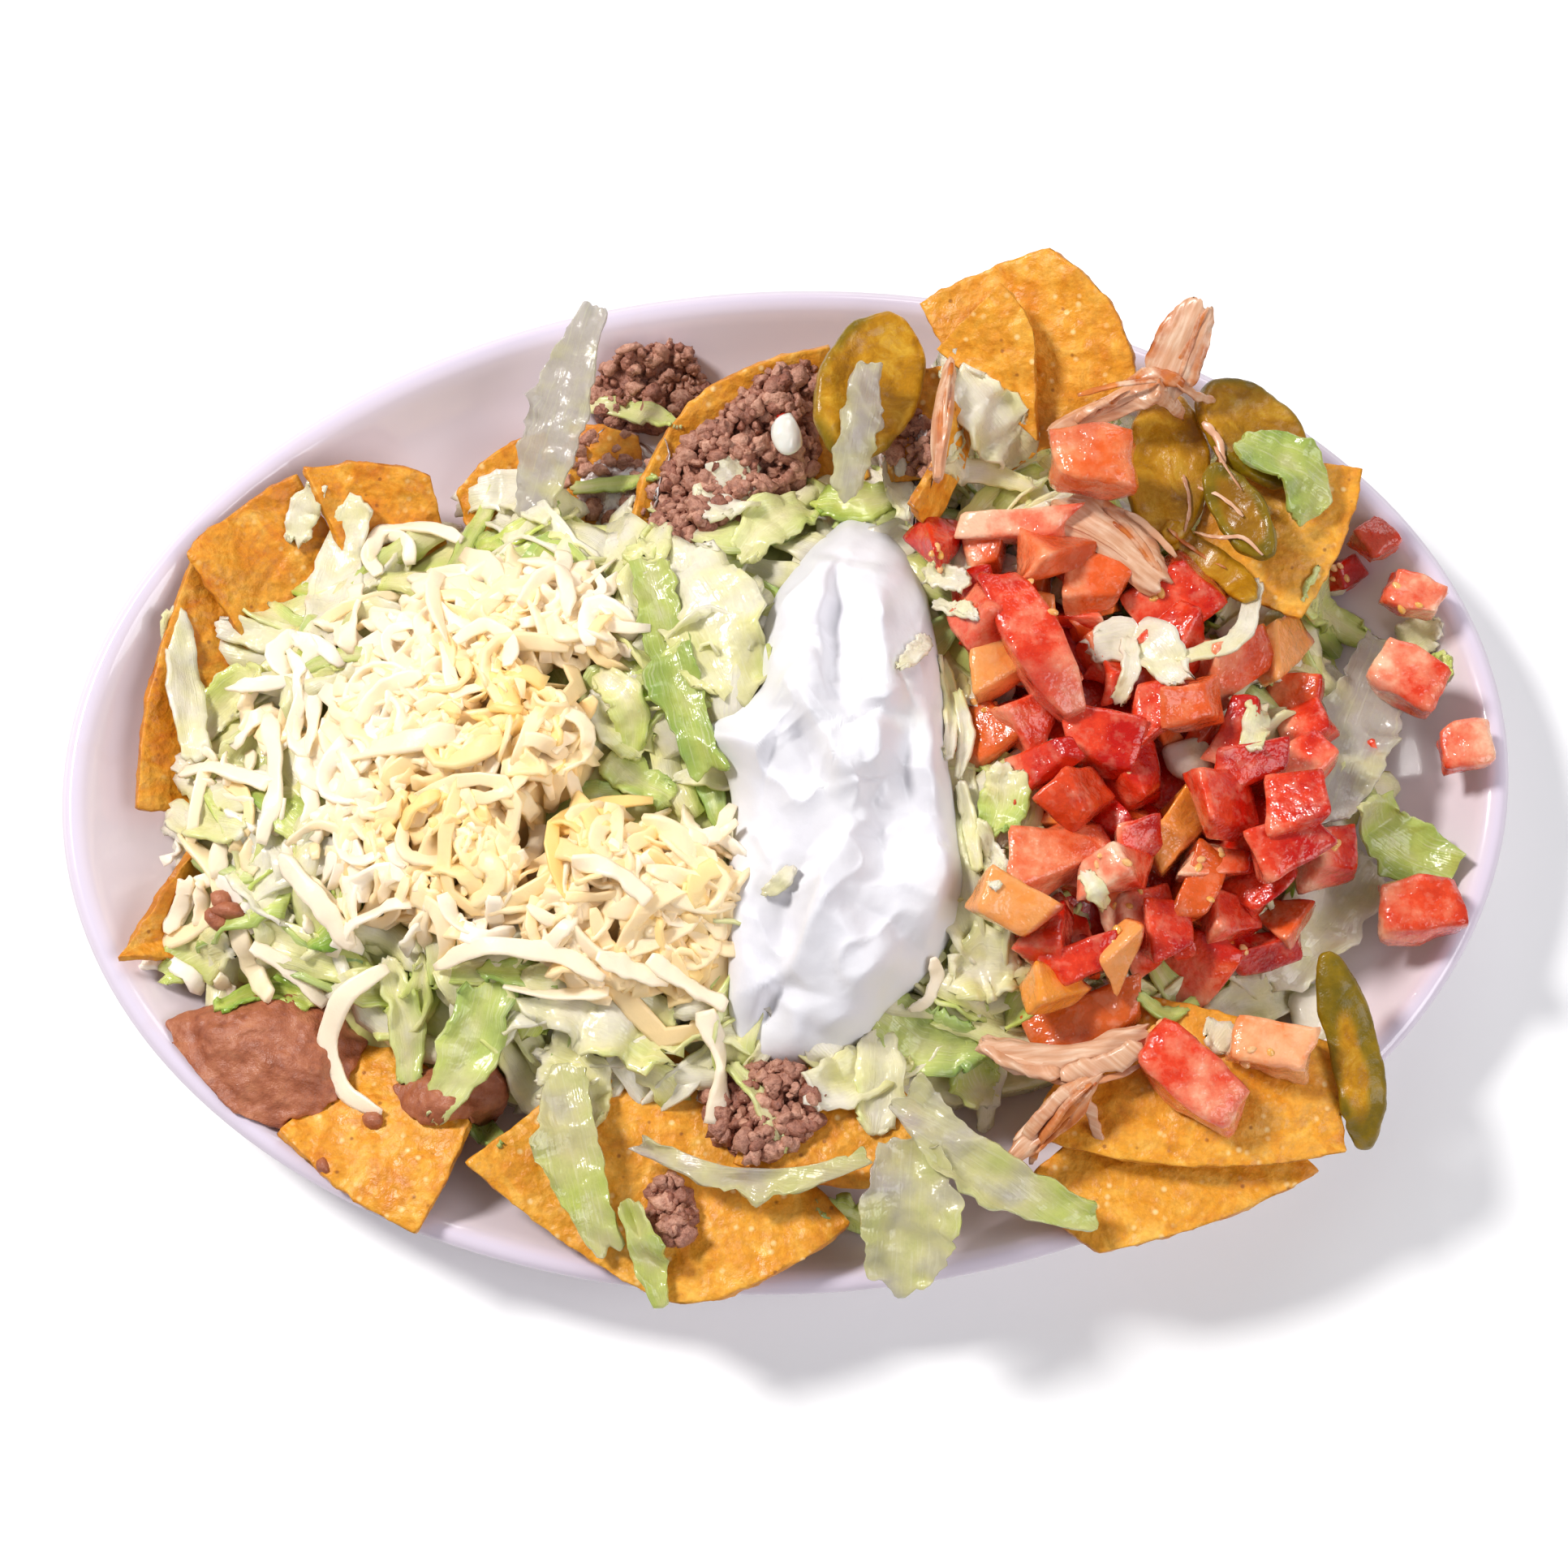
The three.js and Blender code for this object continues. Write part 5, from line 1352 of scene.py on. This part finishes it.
def add_seeds(pile, form, rng, count):
    """A cluster of seeds that sit in the flesh of a die, on the side that shows."""
    points = form[0]
    high = np.argsort(-points[:, 2])[: len(points) // 4]
    heart = points[rng.choice(high)]
    near = high[np.linalg.norm(points[high] - heart, axis=1) < 5]
    for k in rng.choice(near, count):
        ball = SMALL_BALL[0] * SEED_SIZE * rng.uniform(0.7, 1.1)
        seed = turned(ball, rng.uniform(0, 3), rng.normal(0, 0.3)) + points[k] - SEED_DEPTH * UP
        pile.add((seed, *SMALL_BALL[1:]), spot=rng.uniform(0.5, 1))


SMALL_DICE = 60  # how many fill the gaps between the dice
TOMATO_STRIP = [(962, 510), (970, 530), (973, 553)]  # pixels of a thin strip of skin that lies on the mince


def make_tomato(ground, material):
    rng = np.random.default_rng(41)
    pile = Pile()

    def core_top(x, y, share):
        return mound_top(x, y) - 3 + 3 * dome(share)

    form = heap_form(SALSA_OUTLINE, core_top, below_mound(6), 90, 24, inset=6, uneven=2, seed=3)
    ground.cover(pile.add(form, tone=0.9), 6)
    ground.settle()
    for x, y in scatter(shrunk(SALSA_OUTLINE, 9), SMALL_DICE, rng):
        size = rng.uniform(5, 10, 3) * (1, 1, 0.8)
        place = np.array([x, y, float(ground.at(x, y)) + 0.3 * size[2]])
        form, skin, flesh = die_form(place, rng.uniform(0, 3), size, rng, 0.6)
        tone, orange = rng.uniform(0.45, 1.0), max(0.0, rng.normal(0, 0.3))
        pile.add(form, tone=clipped(tone + flesh), shade=skin, along=min(orange, 0.7))
        ground.cover(form)
    ground.settle()
    for rows, orange in ((DICE, 0.0), (ORANGE_DICE, 0.8)):
        for px, py, yaw, long, wide, tone in rows:
            high = rng.uniform(7.5, 10)
            place = ground.seen(px, py, high * 0.42)
            form, skin, flesh = die_form(place, math.radians(yaw), (0.97 * long, 1.02 * wide, high), rng)
            hue = orange + (rng.uniform(0, 0.35) if rng.random() < 0.25 else 0)
            skin = skin * (rng.random() < 0.5)
            pile.add(form, tone=clipped(tone + flesh), shade=skin, along=min(hue, 1))
            if rng.random() < 0.22:
                add_seeds(pile, form, rng, 4)
            ground.cover(form)
            if rng.random() < 0.2:
                ground.settle(1)
    ground.settle()
    strip = bar(ground.path(TOMATO_STRIP, 0.8), 2.6, 1.4, rows=12, seed=4)
    pile.add(strip, tone=0.9)
    pile.finish("tomato_dice", material, "tomato", ["diced_tomato"])


# How red each larger piece is, how orange, and by how much its ends narrow.
BLOCKS = {
    "tomato_rim_back": (0.6, 0.1, 0.3),
    "tomato_rim_back_2": (0.4, 0.0, 0.25),
    "tomato_rim_middle": (0.38, 0.0, 0.2),
    "tomato_rim_edge": (0.36, 0.0, 0.3),
    "tomato_rim_front": (0.6, 0.05, 0.15),
    "tomato_on_chip": (0.5, 0.0, 0.35),
    "tomato_orange": (0.45, 0.3, 0.3),
    "tomato_wedge": (0.55, 0.0, 0.55),
    "tomato_core": (0.0, 0.45, 0.1),
}
SEEDED = ("tomato_rim_back_2", "tomato_on_chip", "tomato_core", "tomato_wedge")


def make_blocks(ground, material):
    rng = np.random.default_rng(42)
    for seed, (name, (tone, orange, taper)) in enumerate(BLOCKS.items()):
        points, quads = smooth_node(name)
        centre, axes, local = own_axes(points)
        share = local[:, 0] / np.abs(local[:, 0]).max()
        local[:, 1:] *= 1 - taper * share[:, None] ** 2
        points = local @ axes + centre
        points = pushed(points, quads, 1.1 * waves(points, 7, 3, seed))
        skin = np.clip(waves(points, 12, 1, seed) * 2 - 0.2, 0, 0.8)
        pile = Pile()
        redness = clipped(tone + 0.25 * share)
        form = pile.add((points, quads, []), tone=redness, shade=skin, along=orange)
        ground.cover(form)
        if name in SEEDED:
            add_seeds(pile, form, rng, 3)
        pile.finish("diced_" + name, material, "tomato", [name])


def make_onion(ground):
    points, quads = smooth_node("onion_chunk", sharp=NO_SHARP_EDGES)
    form = (pushed(points, quads, 0.5 * waves(points, 6, 2)), quads, [])
    ground.cover(finish_form("white_onion_chunk", form, onion_material(), "onion", ["onion_chunk"]))


# ---------------------------------------------------------------- beef and beans

# The outlines of the lots of mince.
CLUMPS = {
    "beef_on_plate": [
        (-42, 93), (-38, 99), (-30, 103), (-20, 103), (-15, 97), (-15, 90), (-23, 86), (-38, 87),
    ],
    "beef_in_shell": [(-27, 50), (-22, 70), (-8, 80), (2, 90), (11, 88), (10, 68), (-2, 58), (-14, 47)],
    "beef_at_front": [(-19, -70), (-6, -67), (6, -72), (3, -84), (-10, -88), (-20, -80)],
    "beef_on_chip": [(-32, -92), (-26, -90), (-22, -97), (-25, -105), (-32, -100)],
}
CRUMB_AREA = 2.2  # mm2 of a lot of mince for each crumb on it


def crumb_form(place, radius, rng, rough=0.7):
    """A crumb: a lump pinched and knobbled by smooth noise."""
    points, *faces = SMALL_BALL
    shift = 100 * rng.random(3)
    reach = 1 + rough * waves(points + shift, 0.9, 3)
    lump = points * reach[:, None] * radius * rng.uniform(0.6, 1.4, 3)
    return turned(lump, rng.uniform(0, 6), rng.uniform(0, 3)) + place, *faces


def make_beef(ground, material):
    rng = np.random.default_rng(51)
    for name, outline in CLUMPS.items():
        points, quads = smooth_node(name, 2, NO_SHARP_EDGES)
        points = pushed(points, quads, 1.5 * waves(points, 3.5, 3)) - 1.5 * UP
        pile = Pile()
        ground.cover(pile.add((points, quads, []), tone=0.1))
        ground.settle(1)
        area = 0.5 * abs(sum(a[0] * b[1] - a[1] * b[0] for a, b in zip(outline, outline[1:] + outline[:1])))
        for x, y in scatter(outline, int(area / CRUMB_AREA), rng):
            radius = float(np.clip(rng.lognormal(0.1, 0.35), 0.6, 2.0))
            z = float(ground.at(x, y)) + 0.4 * radius
            form = crumb_form(np.array([x, y, z]), radius, rng)
            pile.add(form, tone=float(clipped(rng.normal(0.45, 0.3))))
        pile.finish("mince_" + name, material, "beef", [name])


# Small lots of mashed bean: a pixel of the photograph and a radius in mm.
BEAN_CRUMBS = [(460, 1380, 2.2), (398, 1437, 1.6), (274, 1108, 3.0), (283, 1122, 3.2), (268, 1134, 2.6)]


def make_beans(ground):
    material = beans_material()
    for name in ("refried_beans", "refried_beans_small"):
        points, quads = smooth_node(name, sharp=NO_SHARP_EDGES)
        points = pushed(points, quads, 1.1 * waves(points, 9, 3, 4) + 0.35 * waves(points, 2.5, 2, 6))
        finish_form("mashed_" + name, (points, quads, []), material, "beans", [name])
    rng = np.random.default_rng(81)
    crumbs = Pile()
    for px, py, radius in BEAN_CRUMBS:
        crumbs.add(crumb_form(ground.seen(px, py, 0.1 * radius), radius, rng, 0.25))
    crumbs.finish("bean_crumbs", material, "beans")


# Patches of melted cheese over mince, as outlines in pixels of the photograph.
QUESO = {
    "queso_left": [
        (655, 590), (672, 552), (720, 540), (790, 545), (822, 585), (795, 640), (720, 655), (668, 640),
    ],
    "queso_right": [
        (1072, 560), (1085, 520), (1120, 500), (1150, 525), (1152, 590), (1130, 645), (1090, 625),
    ],
}
QUESO_CRUMBS = 50  # how many crumbs of mince show in each patch


def make_queso(ground, beef):
    material = queso_material()
    rng = np.random.default_rng(71)
    for name, pixels in QUESO.items():
        outline = [tuple(ground.seen(px, py)[:2]) for px, py in pixels]

        def top(x, y, share):
            places = np.stack([x, y, np.zeros_like(x)], 1)
            level = mix(ground.top(x, y), ground.at(x, y), dome(share, 4))
            return level + 0.4 + 1.0 * dome(share) + (1.3 * waves(places, 5, 3) + 0.3) * dome(share, 6)

        def bed(x, y):
            return ground.top(x, y) - 1.5

        ground.settle(8)  # so that a patch slopes down over the steps in the ground
        form = heap_form(outline, top, bed, 80, 26, uneven=1.2, seed=3)
        ground.cover(finish_form(name, form, material, "cheese"))
        ground.settle(1)
        crumbs = Pile()
        for x, y in scatter(outline, QUESO_CRUMBS, rng):
            place = np.array([x, y, float(ground.at(x, y)) - 0.3])
            crumbs.add(crumb_form(place, rng.uniform(0.9, 2.0), rng), tone=rng.uniform(0.3, 0.9))
        crumbs.finish("mince_in_" + name, beef, "beef")
        ground.settle()


# ---------------------------------------------------------------- jalapeno, chicken and leaves

# How much skin each pepper's face shows beyond the narrow rim that all have, and how dark its flesh is.
PEPPERS = {
    "jalapeno_big": (0.0, 0.0),
    "jalapeno_long": (-0.1, 0.25),
    "jalapeno_round": (0.05, 0.5),
    "jalapeno_low": (0.3, 0.7),
    "jalapeno_strip": (0.5, 0.2),
}

# A narrow strip of pepper seen on its edge: its path in pixels of the photograph.
PEPPER_STRIP = [(1436, 648), (1462, 672), (1498, 694), (1524, 716), (1540, 738)]


def make_jalapenos(ground):
    material = jalapeno_material()
    for seed, (name, (skin, dark)) in enumerate(PEPPERS.items()):
        points, quads = smooth_node(name, sharp=NO_SHARP_EDGES)
        local = own_axes(points)[2]
        local /= np.abs(local).max(axis=0)
        reach = np.hypot(local[:, 0], local[:, 1])
        points = pushed(points, quads, 0.8 * waves(points, 8, 3, seed))
        shade = clipped(reach + skin + 0.1 * waves(points, 6, 2, seed))
        dark = clipped(dark + 0.4 * waves(points, 9, 2, seed + 6))
        form = (points, quads, [])
        finish_form("pickled_" + name, form, material, "jalapeno", [name], shade=shade, tone=dark)
        ground.cover(form, 3)
    ground.settle(1)
    path = ground.path(PEPPER_STRIP, 1.2)
    strip = bar(path, 6.5, 2.8, (0.5, 0.2), 24, blunt=0.5, hollow=0.3, ragged=0.25, seed=7, sides=12)
    shade = clipped(0.5 + 0.5 * waves(strip[0], 6, 2, 3))
    ground.cover(finish_form("pickled_pepper_strip", strip, material, "jalapeno", shade=shade, tone=0.2))


# How much sauce each piece of chicken carries, and how many loose fibres lie along it.
CHICKEN = {
    "chicken_standing": (0.6, 2),
    "chicken_thick": (0.55, 4),
    "chicken_back": (0.8, 6),
    "chicken_side": (0.5, 4),
    "chicken_front": (0.3, 3),
    "chicken_corner": (0.85, 7),
}

# Loose shreds of chicken: a path in pixels of the photograph, a width in mm and how much sauce is on them.
CHICKEN_SHREDS = [
    (((1446, 470), (1470, 485), (1497, 494)), 2.0, 0.5),
    (((1325, 519), (1352, 500), (1381, 492)), 2.2, 0.5),
    (((1386, 470), (1415, 460), (1459, 474)), 3.0, 1.0),
    (((1482, 520), (1500, 540), (1508, 575)), 1.7, 0.3),
    (((1496, 550), (1512, 578), (1530, 604)), 0.8, 0.4),
    (((1476, 600), (1505, 612), (1532, 636)), 0.8, 0.2),
    (((1458, 585), (1466, 620), (1460, 655)), 0.8, 0.4),
    (((1470, 655), (1505, 662), (1530, 662), (1556, 684)), 0.9, 0.3),
    (((1440, 652), (1475, 680), (1510, 700)), 0.9, 1.0),
    (((1334, 1339), (1344, 1370), (1350, 1395), (1362, 1420)), 2.4, 0.3),
    (((1337, 1329), (1300, 1357), (1269, 1395), (1247, 1432)), 3.0, 0.5),
    (((1345, 1335), (1312, 1362), (1285, 1400), (1270, 1434)), 2.2, 0.9),
    (((1212, 1279), (1235, 1305), (1262, 1318), (1306, 1323)), 4.2, 0.3),
    (((1306, 1326), (1353, 1315), (1409, 1290)), 4.6, 0.2),
]


def centre_line(points, stops=6):
    """The middle of a long form from end to end, its axes, half width and half thickness, and its points
    measured along its axes."""
    _, axes, local = own_axes(points)
    marks = np.linspace(local[:, 0].min(), local[:, 0].max(), stops)
    reach = marks[1] - marks[0]
    line = [points[np.abs(local[:, 0] - mark) < 0.7 * reach].mean(axis=0) for mark in marks]
    return np.array(line), axes, np.abs(local[:, 1:]).max(axis=0), local


def make_chicken(ground):
    material = chicken_material()
    rng = np.random.default_rng(61)
    for seed, (name, (sauce, fibres)) in enumerate(CHICKEN.items()):
        points, quads = smooth_node(name)
        line, axes, (wide, thick), local = centre_line(points)
        grain = 0.35 * waves(local * [0.1, 1, 1], 1.3, 2, seed) + 0.6 * waves(local * [0.3, 1, 1], 4, 2, seed)
        points = pushed(points, quads, grain - 0.2)
        tip = local[:, 0] / np.abs(local[:, 0]).max()
        frayed = waves(local * [0, 1, 0.3], 2.2, 3, seed + 9) - 1.2 * (local[:, 1] / wide) ** 2
        points += axes[0] * (np.sign(tip) * tip**6 * 2.6 * frayed)[:, None]
        points += axes[1] * (0.22 * local[:, 1] * waves(local * [1, 0, 0], 7, 3, seed + 4))[:, None]
        pile = Pile()
        rim = np.abs(local[:, 1]) / wide
        shade = clipped(sauce * (0.4 + 2 * rim**3))
        form = pile.add((points, quads, []), shade=shade, along=local[:, 0] / 9, across=local[:, 1] / 1.1)
        ground.cover(form, 3)
        for _ in range(fibres):
            start, side = rng.uniform(0, 0.5), rng.uniform(-0.7, 0.7)
            share = np.linspace(start, min(1, start + rng.uniform(0.4, 0.9)), 6)
            out = np.clip(np.linspace(side, side + rng.normal(0, 0.2), 6), -0.9, 0.9)[:, None]
            rise = UP * (np.sqrt(1 - out**2) * thick * 0.6 + 0.2)
            path = spline(line, share) + axes[1] * out * wide + rise
            width, deep, twist = rng.uniform(0.8, 1.7), rng.uniform(0.6, 1.0), rng.normal(0, 0.5, 3)
            form = bar(path, width, deep, twist, rows=14, blunt=0.5, ragged=0.3)
            pile.add(form, shade=float(clipped(sauce * rng.uniform(0, 2.0))), across=rng.uniform(0, 20))
        pile.finish("pulled_" + name, material, "chicken", [name])
    ground.settle(1)
    pile = Pile()
    for seed, (pixels, width, sauce) in enumerate(CHICKEN_SHREDS):
        path = ground.path(pixels, 0.6)
        twist = rng.normal(0, 0.5, 3)
        form = bar(path, width, 0.4 * width, twist, rows=18, blunt=0.5, ragged=0.6, seed=seed)
        pile.add(form, shade=sauce, across=form[0] @ [0.6, 0.6, 0.6])
    pile.finish("chicken_shreds", material, "chicken")


# How green each leaf is at its start and end, and by how many mm its edges are cupped upward.
LEAVES = {
    "leaf_tall": (0.0, 0.05, 1.5),
    "leaf_standing": (0.1, 0.15, -2.0),
    "leaf_bright": (0.95, 0.6, 2.5),
    "leaf_right_pale": (0.0, 0.05, 2.0),
    "leaf_right_green": (0.4, 0.9, 3.0),
    "leaf_centre_green": (0.6, 1.0, 1.5),
    "leaf_front_long": (0.25, 0.55, 3.0),
    "leaf_front_narrow": (0.5, 0.7, 1.0),
    "leaf_front_curl": (0.2, 0.28, 5.5),
    "leaf_front_right": (0.1, 0.5, 3.0),
    "leaf_front_thin": (0.1, 0.3, 1.0),
}


def make_leaves(material):
    for seed, (name, (start, end, cup)) in enumerate(LEAVES.items()):
        points, quads = smooth_node(name)
        centre, axes, _ = own_axes(points)
        if axes[0][1] > 0:
            axes[0] = -axes[0]
        if axes[2][2] < 0:
            axes[2] = -axes[2]
        local = (points - centre) @ axes.T
        share = (local[:, 0] - local[:, 0].min()) / np.ptp(local[:, 0])
        side = local[:, 1] / np.abs(local[:, 1]).max()
        edge = np.abs(side)
        frill = waves(np.stack([local[:, 0] / 5, 3 * np.sign(side) + seed, 0 * edge], 1), 1.0, 2, seed)
        lift = cup * edge**2 + 2.8 * edge**2 * frill
        lift += 1.4 * waves(local, 11, 2, seed) + 0.4 * waves(local, 4, 2, seed + 5)
        points = points + axes[2] * lift[:, None]
        torn = waves(local * [1, 1, 0], 4.5, 3, seed + 3)
        points += axes[1] * (np.sign(side) * edge**2 * 2.2 * torn)[:, None]
        tip = 2 * share - 1
        points += axes[0] * (np.sign(tip) * tip**8 * (3.0 * torn - 2.5 * edge**2))[:, None]
        green = mix(start, end, share) * (0.6 + 0.4 * edge) + 0.12 * waves(local, 8, 2, seed)
        values = {"shade": clipped(green), "tone": 0.3, "along": share + seed, "across": side}
        finish_form("lettuce_" + name, (points, quads, []), material, "leaf", [name], **values)


# ---------------------------------------------------------------- floor and light


def make_floor():
    bpy.ops.mesh.primitive_plane_add(size=6, location=(0, 0, -0.0006))
    floor = bpy.context.object
    floor.name = "floor"
    p = Paint("floor", roughness=0.7)
    p.wire(base_color=p.between(p.noise(400, 2), rgb(250, 250, 250), rgb(253, 253, 253)))
    floor.data.materials.append(p.material)


def add_light(name, place, size, power, color):
    data = bpy.data.lights.new(name, "AREA")
    data.shape = "DISK"
    data.size = size
    data.energy = power
    data.color = color
    light = bpy.data.objects.new(name, data)
    light.location = place
    light.rotation_euler = (Vector((0, 0, 0.02)) - Vector(place)).to_track_quat("-Z", "Y").to_euler()
    bpy.context.scene.collection.objects.link(light)


def make_light():
    add_light("key", (-0.75, 0.45, 1.05), 0.3, 16.8, (1.0, 0.985, 0.96))
    add_light("fill", (0.9, -0.5, 0.9), 0.9, 8.0, (0.98, 0.98, 1.0))
    add_light("back", (0.35, 1.0, 0.7), 0.6, 2.6, (1.0, 1.0, 1.0))
    world = bpy.data.worlds.new("studio")
    bpy.context.scene.world = world
    world.use_nodes = True
    world.node_tree.nodes["Background"].inputs["Color"].default_value = (0.93, 0.93, 1.0, 1)
    world.node_tree.nodes["Background"].inputs["Strength"].default_value = 0.31
    view = bpy.context.scene.view_settings
    view.view_transform = "Standard"
    view.look = "None"


# ---------------------------------------------------------------- the whole


def main():
    make_camera()
    make_light()
    make_floor()
    ground = Ground(["plate", "refried_beans", *CHIP_TONES])
    lettuce = leaf_material("lettuce", rgb(230, 222, 200), 1.0, 0.97)
    leaf = leaf_material("leaf", rgb(204, 194, 182), 0.7, 0.8)
    tomato = tomato_material()
    make_plate()
    make_chips()
    beef = beef_material()
    make_beef(ground, beef)
    make_queso(ground, beef)
    make_lettuce(ground, lettuce)
    make_cream(ground)
    make_cheese(ground, cheese_material())
    make_tomato(ground, tomato)
    make_late_leaves(ground, lettuce)
    make_beans(ground)
    make_onion(ground)
    make_jalapenos(ground)
    make_blocks(ground, tomato)
    make_chicken(ground)
    make_leaves(leaf)


main()
